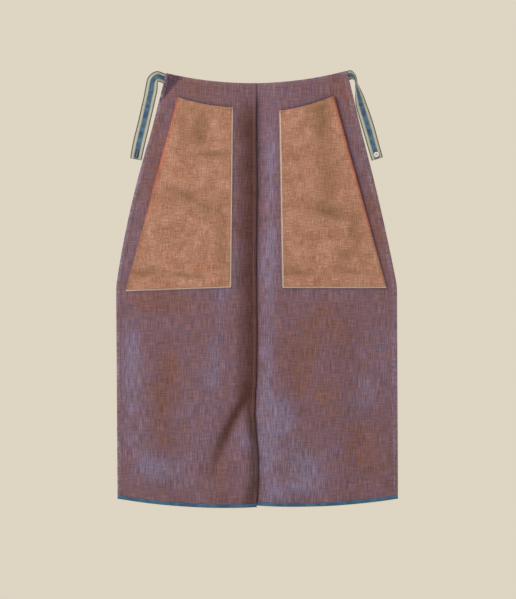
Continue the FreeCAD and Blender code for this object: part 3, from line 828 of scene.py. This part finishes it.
def make_panel(side):
    panel, sign = PANELS[side], -1 if side == "left" else 1
    across = (SIDE_HEM, LEFT_SEAM) if side == "left" else (RIGHT_LAP, SIDE_HEM)
    u, v = panel.grid(*across, WAIST_HEM, BOTTOM_HEM)
    x, z = panel.place(u, v)
    outer, inner, top, bottom = panel.distances(u, v)
    if side == "right":
        outer, inner = inner, outer
    y = front_of(side, x, z)
    y = y + 0.0012 * bell(outer, 0, 0.012) * np.sin(z * 38 + sign) * smooth(-0.05, -0.3, z)
    y = y + 0.0010 * bell(bottom, 0, 0.02) * np.sin(x * 60 + 2 * sign) * smooth(0.0, 0.03, np.abs(x - SEAM))
    doubled = np.zeros(x.shape)
    for distance, band in ((outer, SIDE_HEM), (top, WAIST_HEM), (bottom, BOTTOM_HEM)):
        y = y + 0.0003 * bell(distance, band[-1] + 0.0004, 0.0011)
        doubled = np.maximum(doubled, distance < band[-1] - 0.0005)
    if side == "left":
        doubled = np.maximum(doubled, 0.75 * (inner < 0.0115))
    rim = np.minimum(np.minimum(outer, top), bottom)
    rounding = 0.0004 * (1 - np.clip(rim / 0.0012, 0, 1)) ** 2
    worn = 0.75 * np.exp(-rim / 0.0016) * (0.6 + 0.6 * ripples(x, z, 31, 0.01, 0.05))
    corner_dark = corner_shade(side, x, z)
    values = {
        "tone": panel_tone(x, z),
        # Painted shade in the valley and its branching fold.
        "fold": fold_shade(side, x, z),
        # Painted shadow by the pockets and along the seam's step, and painted shade in the top left corner.
        "soil": np.clip(pocket_shadow(side, x, z) + corner_dark + seam_shadow(side, x, z), 0, 1),
        "wear": np.clip(worn + side_line(side, outer, z), 0, 1),
    }
    # The back keeps weaker copies of the painted valley shade and corner shade, and is darker along the
    # doubled hems.
    behind = {
        "tone": np.clip(0.25 + 0.35 * values["tone"], 0, 1),
        "fold": 0.3 * values["fold"] + 0.25 * (doubled > 0.9),
        "soil": 0.25 * corner_dark,
    }
    piece = shell(f"{side}_panel_cloth", np.stack([x, y + rounding, z], -1),
                  CLOTH * (1 + 0.95 * doubled) - rounding * 1.6, CLOTH_LOOK, np.stack([x, z], -1), values,
                  behind=behind)
    dress(piece, "apron", "apron_cloth", f"{side}_front_panel")
    return piece


def side_line(side, outer, z):
    """The pale worn line that the turned side hem leaves on the front."""
    worn = 0.35 + 0.3 * np.sin(z * 23) * np.sin(z * 57 + 1)
    middle = 0.0012 if side == "left" else 0.0086
    return worn * bell(outer, middle, 0.0011)


def corner_shade(side, x, z):
    """Painted shade in the left panel's top corner, where the left tie turns over it."""
    if side == "right":
        return np.zeros(x.shape)
    corner_x, corner_z = PANELS["left"].top[0]
    return 0.85 * smooth(0.0330, 0.0285, (x - corner_x) * 0.76 - (z - corner_z) * 0.65)


def seam_shadow(side, x, z):
    """Painted shadow that the left panel's folded edge casts along the step at the seam."""
    if side == "left":
        return np.zeros(x.shape)
    upper = smooth(-0.5, -0.2, z)
    line = bell(x, seam_line(z) + 0.0008, 0.0036 + 0.0042 * upper)
    return (0.55 + 0.3 * upper) * line * smooth(-0.01, -0.05, z)


# Pockets.


def pocket_patch(side):
    node = f"{side}_pocket"
    out = -1 if side == "left" else 1
    outer_top, inner_top = corner(node, out * 0.35, 1), corner(node, -out, 0.9)
    inner_low, outer_low = corner(node, -out, -1), corner(node, out, -1)
    outer, inner = straight(outer_top, outer_low), straight(inner_top, inner_low)
    if side == "left":
        return Patch(outer, inner, edge_curve(node, outer_top, inner_top, 0, np.max),
                     straight(outer_low, inner_low))
    return Patch(inner, outer, edge_curve(node, inner_top, outer_top, 0, np.max),
                 straight(inner_low, outer_low))


POCKETS = {side: pocket_patch(side) for side in SIDES}


def line_distance(x, z, start, end):
    """Distance to a straight line, positive on its left going from start to end."""
    way = unit(np.asarray(end) - np.asarray(start))
    return (z - start[1]) * way[0] - (x - start[0]) * way[1]


def pocket_shadow(side, x, z):
    """Painted shadow on the panel just above a pocket's mouth, beside its right-hand edge and under its
    bottom edge.
    """
    pocket = POCKETS[side]
    mouth_z = np.interp(x, pocket.top[:, 0], pocket.top[:, 1])
    inside = smooth(-0.002, 0.004, x - pocket.top[0, 0]) * smooth(-0.002, 0.004, pocket.top[-1, 0] - x)
    above = 0.6 * bell(np.maximum(z - mouth_z, 0), 0, 0.0032) * inside * (z > mouth_z - 0.006)
    top, low = pocket.right[0], pocket.right[-1]
    beyond = line_distance(x, z, top, low)
    level = smooth(low[1] - 0.004, low[1] + 0.01, z) * smooth(top[1] + 0.003, top[1] - 0.006, z)
    width, strength = (0.0066, 0.85) if side == "right" else (0.0018, 0.35)
    lessening = 1 - 0.4 * smooth(-0.2, -0.42, z)
    shade = strength * lessening * level * (beyond > -0.006)
    shade = shade * bell(np.maximum(beyond, 0), 0, width * lessening)
    below = 0.35 * bell(z, low[1] - 0.0008, 0.0022) * smooth(0, 0.004, x - pocket.bottom[0, 0])
    below = below * smooth(0, 0.004, pocket.bottom[-1, 0] - x)
    return np.maximum(np.maximum(above, shade), below)


def pocket_lift(side, x, z, u, v):
    """How far the pocket's cloth stands off the panel under it."""
    left, right, _, low = POCKETS[side].distances(u, v)
    rise = (1 - np.exp(-left / 0.007)) * (1 - np.exp(-right / 0.007)) * (1 - np.exp(-low / 0.008))
    mouth = np.exp(-v / 0.16) * np.sin(np.pi * np.clip(u, 0, 1)) ** 0.8
    lift = 0.0010 + rise * (0.0016 + 0.0030 * mouth)
    if side == "right":
        lift = lift + 0.0026 * smooth(0.030, 0.0, right) * smooth(0.0, 0.002, right + 0.0006) * (1 - 0.6 * v)
    lift = lift + rise * 0.0009 * ripples(x, z, 41 if side == "left" else 42, 0.05, 0.14)
    lift = lift + rise * 0.0003 * ripples(x, z, 43, 0.015, 0.04, count=22)
    return lift + rise * pocket_creases(side, x, z)


# Each crease has its rise, its place (x, z), half width, half height and turn.
CREASES = {
    "left": [(-0.0011, -0.105, -0.151, 0.045, 0.004, 0.05), (0.0010, -0.105, -0.142, 0.045, 0.006, 0.05),
             (-0.0012, -0.150, -0.405, 0.030, 0.004, -0.12), (-0.0010, -0.235, -0.400, 0.024, 0.0035, -0.05),
             (-0.0010, -0.15, -0.235, 0.05, 0.006, -0.5)],
    "right": [(-0.0011, 0.150, -0.273, 0.040, 0.005, -0.35), (0.0009, 0.156, -0.262, 0.040, 0.007, -0.35),
              (-0.0011, 0.085, -0.400, 0.030, 0.004, 0.0), (-0.0009, 0.205, -0.398, 0.040, 0.0035, -0.03)],
}
# Each stain has its strength, its place (x, z), half width and half height.
STAINS = {
    "left": [(0.85, -0.122, -0.100, 0.020, 0.050), (0.5, -0.150, -0.090, 0.02, 0.05),
             (0.6, -0.08, -0.150, 0.040, 0.010), (0.5, -0.150, -0.235, 0.055, 0.020),
             (0.6, -0.11, -0.26, 0.022, 0.022), (0.5, -0.076, -0.30, 0.016, 0.06),
             (0.3, -0.17, -0.30, 0.03, 0.02), (0.6, -0.23, -0.40, 0.03, 0.012),
             (0.5, -0.15, -0.405, 0.034, 0.008), (0.4, -0.07, -0.36, 0.015, 0.06)],
    "right": [(0.9, 0.136, -0.085, 0.018, 0.065), (0.75, 0.150, -0.21, 0.024, 0.07),
              (0.3, 0.11, -0.06, 0.02, 0.04), (0.7, 0.155, -0.270, 0.045, 0.018),
              (0.6, 0.205, -0.30, 0.016, 0.05), (0.5, 0.185, -0.36, 0.022, 0.04),
              (0.6, 0.085, -0.395, 0.03, 0.010), (0.4, 0.205, -0.395, 0.035, 0.008),
              (0.4, 0.082, -0.145, 0.02, 0.012), (0.3, 0.09, -0.2, 0.02, 0.02)],
}


def pocket_creases(side, x, z):
    return sum(rise * patch(x, z, *shape) for rise, *shape in CREASES[side])


def pocket_stains(side, x, z):
    """Olive and brown blotches where hands have rubbed."""
    total = np.max([strength * patch(x, z, *shape) for strength, *shape in STAINS[side]], axis=0)
    return np.clip(total + 0.12 * ripples(x, z, 51, 0.03, 0.12), 0, 1)


# The same for the pockets, along their sewn edges and their mouths.
POCKET_EDGE = [0, 0.0004, 0.0012, 0.0026, 0.0046, 0.0066, 0.0076]
POCKET_MOUTH = [0, 0.0004, 0.0012, 0.0045, 0.0085, 0.0145, 0.016]


def pocket_surface(side, u, v):
    """Places on the pocket's front face, as (x, y, z)."""
    pocket = POCKETS[side]
    x, z = pocket.place(u, v)
    y = front_of(side, x, z) - CLOTH - pocket_lift(side, x, z, u, v)
    left, right, high, low = pocket.distances(u, v)
    for distance in (left, right, low):
        y = y - 0.0005 * smooth(0.0076, 0.0062, distance)
    y = y - 0.0005 * smooth(0.016, 0.0145, high)
    return np.stack([x, y, z], -1)


def make_pocket(side):
    pocket = POCKETS[side]
    u, v = pocket.grid(POCKET_EDGE, POCKET_EDGE, POCKET_MOUTH, POCKET_EDGE, 0.0034)
    front = pocket_surface(side, u, v)
    x, z = front[..., 0], front[..., 2]
    left, right, high, low = pocket.distances(u, v)
    nearest = np.minimum(np.minimum(left, right), np.minimum(low, high))
    rounding = (1 - np.clip(nearest / 0.0012, 0, 1)) ** 2
    front[..., 1] += 0.0004 * rounding
    inner, outer = (right, left) if side == "left" else (left, right)
    # Painted shade in the valleys of the pocket's creases.
    crease_shade = 0.55 * np.clip(-pocket_creases(side, x, z) / 0.0016, 0, 1)
    values = {
        "olive": pocket_stains(side, x, z),
        # Painted shade in the creases, along the mouth's edge and along the edge of the turned hem.
        "soil": np.clip(crease_shade + 0.3 * bell(high, 0.0, 0.0018) + 0.25 * bell(low, 0.0085, 0.0012), 0, 1),
        "warm": np.clip(0.8 * bell(outer, 0, 0.0055) * smooth(-0.40, -0.2, z), 0, 1),
        "wear": np.clip(1.3 * bell(inner, 0, 0.0013) + 1.0 * bell(low, 0, 0.0013), 0, 1),
    }
    thickness = CLOTH * (1 + 0.5 * (nearest < 0.0070)) - 0.0006 * rounding
    piece = shell(f"{side}_pocket_cloth", front, thickness, POCKET_LOOK, np.stack([x, z], -1), values)
    dress(piece, "apron", "pocket_cloth", f"{side}_pocket")
    return piece


def pocket_path(side, shares, count=120):
    """A path on a pocket's face through places given as shares (across, down)."""
    return pocket_surface(side, *chain(shares, count))


def make_pocket_stitches(side):
    """The row inside the pocket's sewn edges, with a back tack at each end of the mouth."""
    pocket = POCKETS[side]
    inset = 0.0030
    mouth, middle, foot = (inset / pocket.width(share) for share in (0.0, 0.5, 0.95))
    top, low = 0.004 / pocket.height(0.5), 1 - inset / pocket.height(0.5)
    path = pocket_path(side, [(mouth, top), (middle, 0.5), (foot, low), (1 - foot, low), (1 - middle, 0.5),
                              (1 - mouth, top)])
    row = running_stitches(f"{side}_pocket_stitches", path, POCKET_THREAD, 61, radius=0.00036)
    dress(row, "apron", "pocket_thread", f"{side}_pocket_thread")
    down = np.tile(top * (0.5 + 0.28 * np.arange(5)), 2)
    tacks = pocket_surface(side, np.repeat([mouth, 1 - mouth], 5), down)
    row = stitch_mesh(f"{side}_pocket_tacks", tacks, np.tile([1.0, 0, 0], (len(tacks), 1)), FRONT,
                      0.0045, 0.0004, POCKET_THREAD)
    dress(row, "apron", "pocket_thread")


def make_overcast(side, edge, start, end, material, seed, pitch):
    """Slanting stitches that wrap one edge of a pocket on to the panel, between two places."""
    rng = np.random.default_rng(seed)
    path = pocket_path(side, [start, end], 300)
    places = np.arange(pitch, arc_lengths(path)[-1] - pitch / 2, pitch)
    spots, headings = along(path, places + rng.normal(0, 0.0002, len(places)))
    middle_x, middle_z = POCKETS[side].place(0.5, 0.5)
    outwards = spots - np.array([middle_x, 0, middle_z])
    across = np.cross(headings, FRONT)
    across = across * np.sign(np.sum(across * outwards, axis=1, keepdims=True))
    slant = across * 0.86 + headings * (0.5 + rng.normal(0, 0.08, len(places)))[:, None]
    row = stitch_mesh(f"{side}_pocket_{edge}_overcast", spots + across * 0.0003,
                      unit(slant + np.array([0, 0.45, 0])), FRONT, 0.0034, 0.00046, material, arch=0.4)
    dress(row, "apron", "pocket_thread")


# Where each pocket's inner and outer edge lie across it, how far down its outer edge the thread is
# red, and the seeds of its four overcast edges.
OVERCAST = {
    "left": (1.0, 0.0, 0.5, (101, 102, 103, 107)),
    "right": (0.0, 1.0, 0.7, (104, 105, 106, 108)),
}


def make_overcast_edges(side):
    """Pale thread on the inner and low edges, and red thread on the outer one that turns to tan."""
    inner, outer, red_end, seeds = OVERCAST[side]
    edges = [
        ("inner", (inner, 0.004), (inner, 0.999), EDGE_THREAD, 0.0031),
        ("low", (0.001, 1.0), (0.999, 1.0), EDGE_THREAD, 0.0042),
        ("outer", (outer, 0.004), (outer, red_end), RED_THREAD, 0.0031),
        ("outer_low", (outer, red_end), (outer, 0.99), POCKET_THREAD, 0.0031),
    ]
    for seed, (edge, start, end, material, pitch) in zip(seeds, edges):
        make_overcast(side, edge, start, end, material, seed, pitch)


# Rows of stitching on the panels, and the braid on the hem.


def inset_path(side, edge, inset, start=0.0, end=1.0, proud=0.0001, count=500):
    """A path that follows one edge of a panel at a set distance inside it."""
    panel = PANELS[side]
    share = np.linspace(start, end, count)
    if edge in ("top", "bottom"):
        down = inset / panel.height(share)
        places = share, down if edge == "top" else 1 - down
    else:
        across = inset / panel.width(share)
        places = across if edge == "left" else 1 - across, share
    return on_front(side, *panel.place(*places), proud)


# How far the sewn rows lie inside the panels' edges.
WAIST_ROW, SIDE_ROW, SEAM_ROW, BRAID_ROW = 0.0095, 0.0070, 0.0058, 0.0076
# The braid's place inside the hem, the length of one plait, its half width and its strands' radius.
BRAID_INSET, BRAID_PLAIT, BRAID_SWING, BRAID_STRAND = 0.0036, 0.0095, 0.0026, 0.00105
# How much of the right panel's hem the left panel covers.
HEM_LAP = 0.0125


def make_panel_stitches():
    for side in SIDES:
        margin = 0.012 / PANELS[side].width(0.0)
        lap = 0.0155 / PANELS[side].width(0.0)
        start, end = (margin, 0.995) if side == "left" else (lap, 1 - margin)
        row = running_stitches(f"{side}_waist_stitches", inset_path(side, "top", WAIST_ROW, start, end),
                               SEAM_THREAD, 71)
        dress(row, "apron", "seam_thread", "waist_hem_thread")
        row = running_stitches(f"{side}_side_stitches", inset_path(side, side, SIDE_ROW, 0.016, 0.988),
                               SEAM_THREAD, 72)
        dress(row, "apron", "seam_thread", f"{side}_side_hem_thread")
    seam = inset_path("left", "right", SEAM_ROW, 0.012, 0.992)
    row = running_stitches("centre_seam_stitches", seam, SEAM_THREAD, 73, radius=0.00034)
    dress(row, "apron", "seam_thread", "centre_seam_thread")


def make_hem_braid(side):
    """Three strands that plait from side to side along the hem, over the front of the cloth."""
    start = 0.0 if side == "left" else HEM_LAP / PANELS[side].width(1.0)
    line = inset_path(side, "bottom", BRAID_INSET, start, 1.0, 0.0009, 1200)
    distances = np.arange(0.0003, arc_lengths(line)[-1], 0.0009)
    spots, headings = along(line, distances)
    up = np.cross(FRONT, headings)
    up = up * np.sign(up[:, 2:3])
    phases = [2 * math.pi * (distances / BRAID_PLAIT + strand / 3)[:, None] for strand in range(3)]
    strands = [spots + up * BRAID_SWING * np.sin(phase) + FRONT * 0.00055 * np.sin(2 * phase)
               for phase in phases]
    braid = tubes_mesh(f"{side}_hem_plait", strands, BRAID_STRAND, BRAID_LOOK)
    dress(braid, "apron", "hem_braid", f"{side}_hem_braid")
    row = running_stitches(f"{side}_hem_stitches", inset_path(side, "bottom", BRAID_ROW, start, 1.0, 0.0002),
                           BRAID_THREAD, 75 if side == "left" else 76, length=0.0032, pitch=0.0040,
                           radius=0.00052)
    dress(row, "apron", "braid_thread", f"{side}_hem_braid_thread")


# Ties. A tie is a tape between two edges, each a smooth curve through a few places.

JOINTS = {joint["name"]: joint for joint in frame["joints"]}
# The columns of a tape's grid, and how far its middle bows backwards.
TAPE_COLUMNS = 17
TAPE_BOW = 0.0004
# The half width of the slit, as a share of the tape's.
SLIT_SHARE = 0.02
# Lengths above and below a tie's hinge, which nothing here uses to bend it.
BEND_ABOVE, BEND_BELOW = 0.005, 0.016


def joint_place(name):
    return np.array(JOINTS[name]["pos_m"])


def fall_of(side):
    """The direction in which a tie hangs: from where it turns down to where it folds."""
    return unit(joint_place(f"{side}_tie_bend") - joint_place(f"{side}_tie_swing"))


def curve_through(places, count):
    """A smooth curve that passes through every place (Catmull-Rom)."""
    places = np.asarray(places, float)
    ends = np.concatenate([[2 * places[0] - places[1]], places, [2 * places[-1] - places[-2]]])
    share = np.linspace(0, len(places) - 1, count)
    which = np.minimum(share.astype(int), len(places) - 2)
    t = (share - which)[:, None]
    a, b, c, d = (ends[which + k] for k in range(4))
    return 0.5 * (2 * b + (c - a) * t + (2 * a - 5 * b + 4 * c - d) * t ** 2
                  + (3 * b - a - 3 * c + d) * t ** 3)


class Tape:
    """A tape between its left and right edges as it hangs, seen from the front.

    Each station is (x, z, y) of the left edge, then of the right edge, in millimetres: x and z from
    where the tie turns down, and y in the frame.
    """

    def __init__(self, side, stations, count):
        turn = joint_place(f"{side}_tie_swing")
        stations = np.array(stations) * 0.001
        edges = []
        for first in (0, 3):
            x, z, y = stations[:, first], stations[:, first + 1], stations[:, first + 2]
            edges.append(curve_through(np.stack([turn[0] + x, y, turn[2] + z], -1), count))
        self.left, self.right = edges
        self.shade = TIE_SHADE[side]
        middle = (self.left + self.right) / 2
        self.lengths = arc_lengths(middle)
        self.lengths += (middle[-1] - turn) @ fall_of(side) - self.lengths[-1]

    def at(self, across, length):
        """Points at places across, from -1 to 1, and at distances below the turn."""
        share = (np.asarray(across, float)[..., None] + 1) / 2
        edges = [np.stack([np.interp(length, self.lengths, edge[:, k]) for k in range(3)], -1)
                 for edge in (self.left, self.right)]
        return edges[0] * (1 - share) + edges[1] * share

    def mesh(self, name, slit=None, hem=None):
        """The tape as a closed sheet.

        slit is where a buttonhole starts and stops, and hem is where the turned-up end starts.
        """
        across = np.concatenate([np.linspace(-1, 1, TAPE_COLUMNS), [-0.965, 0.965]])
        lengths, end = self.lengths, self.lengths[-1]
        if slit:
            across = np.concatenate([across[np.abs(across) > 0.06], [-SLIT_SHARE, SLIT_SHARE]])
            lengths = np.concatenate([lengths, slit])
        if hem:
            lengths = np.concatenate([lengths, [hem - 0.0002, hem + 0.0002]])
        across, lengths = np.sort(across), np.sort(lengths)
        front = self.at(across[None, :], np.broadcast_to(lengths[:, None], (len(lengths), len(across))))
        rim = 0.00022 * (np.abs(across) > 0.99)
        front = front + grid_normals(front) * (rim - TAPE_BOW * (1 - across ** 2))[None, :, None]
        thickness = TAPE - 2 * rim + 0.0006 * (lengths > (hem or np.inf))[:, None]
        # Painted shade where the tape turns, strongest down its middle.
        soil = np.outer(np.interp(lengths, *np.transpose(self.shade)), 0.4 + 0.6 * bell(across, 0, 0.45))
        # Painted shade at the hemmed end.
        if hem:
            soil = np.maximum(soil, 0.6 * smooth(end - 0.0016, end, lengths)[:, None])
        hole = None
        if slit:
            start, stop = slit
            middle = (lengths[:-1] + lengths[1:]) / 2
            between = np.abs(across[:-1] + across[1:]) / 2 < SLIT_SHARE
            hole = np.outer((middle > start) & (middle < stop), between)
            # Painted shade round the slit.
            near = smooth(start - 0.003, start, lengths) * smooth(stop + 0.003, stop, lengths)
            soil = np.maximum(soil, 0.8 * np.outer(near, bell(across * TAPE_HALF, 0, 0.0034)))
        uv = np.stack(np.broadcast_arrays(across[None] * TAPE_HALF, lengths[:, None]), -1)
        return shell(name, front, thickness, TAPE_LOOK, uv, {"soil": soil}, hole)


# How strong the painted shade on the tapes is, at distances below their turns.
TIE_SHADE = {
    "left": [(-0.032, 0.85), (-0.022, 0.7), (-0.015, 0.6), (-0.008, 0.15), (0.002, 0)],
    "right": [(-0.03, 0.5), (-0.01, 0.35), (0.004, 0.6), (0.03, 0.5), (0.06, 0.25), (0.085, 0)],
}

# The sewn end lies behind the panel's corner, the tape turns over, and its free end hangs.
LEFT_TIE_TOP = [
    (43, 4.5, 2.0, 40, -17.3, 2.0),
    (30, 7.6, 2.0, 28, -14.2, 2.0),
    (19.5, 11.2, 2.0, 18, -10.4, 2.0),
    (11.5, 14.2, 1.4, 12, -8, 1.8),
    (5.5, 15, 0.2, 9.6, -7.2, 0.8),
    (-2.4, 12.2, -1.2, 8.4, -8.2, -0.6),
    (-9, 6.8, -2.2, 7.8, -10, -1.9),
    (-14.6, -1.6, -2.4, 7.5, -14.5, -2.4),
    (-18.3, -18, -2.4, 7.0, -25, -2.4),
    (-21.8, -37, -2.4, 3.4, -42, -2.4),
    (-26.2, -56, -2.4, -0.9, -61.5, -2.4),
]
LEFT_TIE_FREE = [
    (-26.2, -56, -2.4, -0.9, -61.5, -2.4),
    (-34.0, -91, -2.6, -9.0, -96.5, -2.5),
    (-43.0, -127, -2.3, -17.2, -131, -2.5),
    (-48.0, -152, -2.5, -22.8, -155.5, -2.4),
    (-50.4, -168, -2.9, -26.6, -172.6, -2.6),
]
# The right tie turns edge on as it comes over, and opens out again below.
RIGHT_TIE_TOP = [
    (-34, -20.5, 2.0, -37, 0.6, 2.0),
    (-26.5, -16.5, 2.0, -29, 4.0, 2.0),
    (-19, -11.5, 2.0, -20.5, 8.6, 2.0),
    (-11, -7.5, 3.5, -12.4, 12.6, 0.5),
    (-4.6, -6.2, 6.0, -5.5, 11.2, -2.0),
    (-0.6, -9.8, 8.0, 1.2, 2.5, -6.0),
    (0.2, -16, 8.5, 4.1, -8, -8.0),
    (0.4, -24, 7.0, 5.2, -15, -8.5),
    (0.4, -33, 3.0, 10, -23.5, -7.5),
    (0.4, -45.5, 0.0, 17.2, -38.2, -4.5),
    (1.6, -62, -2.4, 24.0, -56, -2.4),
]
RIGHT_TIE_FREE = [
    (1.6, -62, -2.4, 24.0, -56, -2.4),
    (8.9, -88, -2.4, 33.0, -81, -2.4),
    (17.5, -117, -2.2, 42.2, -110, -2.6),
    (26.2, -147, -2.4, 50.5, -141, -2.5),
    (35.2, -177.4, -2.7, 58.8, -170, -2.9),
]
# Rows of a tape's grid to each station.
STATION_STEPS = 14


def make_tie_top(side, stations):
    """The sewn end and the turn, as one tape from behind the apron's corner into the tie's upper length."""
    tape = Tape(side, stations, STATION_STEPS * len(stations))
    piece = tape.mesh(f"{side}_tie_top_tape")
    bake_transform(piece)
    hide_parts(f"{side}_tie_sewn_end", f"{side}_tie_upper")
    make_anchor_stitches(side, tape)
    return piece


def make_tie_free(side, stations, slit=None):
    """The free length, over its upper and lower halves, with a hemmed end."""
    tape = Tape(side, stations, 3 * STATION_STEPS * len(stations))
    end = tape.lengths[-1]
    piece = tape.mesh(f"{side}_tie_free_tape", slit=slit, hem=end - 0.0055)
    fold = joint_place(f"{side}_tie_bend")
    fall = fall_of(side)
    fold - fall * BEND_ABOVE
    fold + fall * BEND_BELOW
    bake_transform(piece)
    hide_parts(f"{side}_tie_lower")
    reach = np.linspace(-0.9, 0.9, 60)
    row = tape.at(reach, np.full(60, end - 0.0028)) + FRONT * 0.0006
    stitches = running_stitches(f"{side}_tie_end_stitches", row, TAPE_THREAD, 81, length=0.0017,
                                pitch=0.0024, radius=0.00028)
    dress(stitches, f"{side}_tie_lower", "tape_thread", f"{side}_tie_end_thread")
    return piece, tape


def make_anchor_stitches(side, tape):
    """The crossed square of stitches that holds a tie's sewn end, seen on the back."""
    first = tape.lengths[0] + 0.0035
    last = first + 0.0145
    corners = [(-0.62, first), (0.62, first), (0.62, last), (-0.62, last), (-0.62, first)]
    for number, ends in enumerate((corners, [corners[0], corners[2]])):
        path = tape.at(*chain(ends, 30)) + BACK * (TAPE + 0.0002)
        row = running_stitches(f"{side}_tie_anchor_stitches_{number}", path, TAPE_THREAD, 83 + number,
                               length=0.0022, pitch=0.0030, radius=0.00034, outward=BACK)
        dress(row, "apron", "tape_thread", f"{side}_tie_anchor_thread")


# How far the CAD model's rim reaches past the slit.
BUTTONHOLE_RIM = 0.0016


def buttonhole_span():
    """Where the slit starts and stops, below the left tie's turn."""
    turn = joint_place("left_tie_swing")
    reach = (node_points("buttonhole_thread") - turn) @ fall_of("left")
    return reach.min() + BUTTONHOLE_RIM, reach.max() - BUTTONHOLE_RIM


def make_buttonhole_stitches(tape):
    """Close stitches all round the slit, with a bar at each end."""
    start, stop = buttonhole_span()
    places = np.arange(start, stop, 0.00075)
    middles = [tape.at(np.full(len(places), across), places) + FRONT * 0.00045 for across in (-0.135, 0.135)]
    bars = [place + step for place in (start - 0.0006, stop + 0.0006) for step in (-0.0004, 0.0004)]
    middles = np.concatenate([*middles, tape.at(np.zeros(4), np.array(bars)) + FRONT * 0.0006])
    headings = np.tile(unit(tape.right[-1] - tape.left[-1]), (len(middles), 1))
    piece = stitch_mesh("buttonhole_stitches", middles, headings, FRONT, 0.0031, 0.00040, BUTTONHOLE_THREAD)
    dress(piece, "left_tie_lower", "buttonhole_thread", "buttonhole_thread")


def make_button_parts():
    """The button keeps its own shape, and its thread is wound as strands."""
    button = frame["nodes"]["tie_button"]
    button.data.materials.clear()
    button.data.materials.append(button_shell())
    low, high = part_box("tie_button")
    middle = np.array((low + high) / 2) * np.array([1, 0, 1])
    lean = np.array(JOINTS["right_tie_bend"]["axis"])
    up = np.cross(lean, FRONT)
    share = np.linspace(-1, 1, 21)
    arch = 0.0006 + 0.00055 * (1 - share ** 2) - 0.0012 * smooth(0.72, 1.0, np.abs(share))
    strands = []
    for offset in (-0.00049, 0.0, 0.00049):
        line = middle + share[:, None] * lean * 0.00154 + up * offset
        line[:, 1] = low.y + 0.0007 - arch
        strands.append(line)
    turns = np.linspace(0, 2 * math.pi * 4.5, 110)
    shank = middle + 0.0010 * (np.cos(turns)[:, None] * lean + np.sin(turns)[:, None] * up)
    shank[:, 1] = np.linspace(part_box("right_tie_lower")[0].y - 0.0003, high.y + 0.0003, len(turns))
    strands.append(shank)
    piece = tubes_mesh("button_thread_strands", strands, 0.00032, BUTTON_THREAD)
    dress(piece, "tie_button", "button_thread", "button_thread")


# The back: the seam's raw allowance, pressed to one side and overcast.


def make_seam_allowance():
    """The right panel's cut edge behind the seam, held by slanting stitches."""
    rng = np.random.default_rng(91)
    path = inset_path("right", "left", 0.0010, 0.01, 0.99, -CLOTH - 0.0002)
    pitch = 0.0042
    places = np.arange(pitch, arc_lengths(path)[-1] - pitch, pitch)
    spots, headings = along(path, places)
    slant = np.array([0.86, 0, 0]) + headings * (0.5 + rng.normal(0, 0.07, len(places)))[:, None]
    row = stitch_mesh("seam_allowance_stitches", spots, unit(slant), BACK, 0.0036, 0.00032, SEAM_THREAD)
    dress(row, "apron", "seam_thread")


panels = {side: make_panel(side) for side in SIDES}
for side in SIDES:
    pocket = make_pocket(side)
    make_pocket_stitches(side)
    make_hem_braid(side)
for side in SIDES:
    make_overcast_edges(side)
make_panel_stitches()
make_seam_allowance()

left_top = make_tie_top("left", LEFT_TIE_TOP)
right_top = make_tie_top("right", RIGHT_TIE_TOP)
left_free, left_tape = make_tie_free("left", LEFT_TIE_FREE, slit=buttonhole_span())
right_free, _ = make_tie_free("right", RIGHT_TIE_FREE)
make_buttonhole_stitches(left_tape)
make_button_parts()
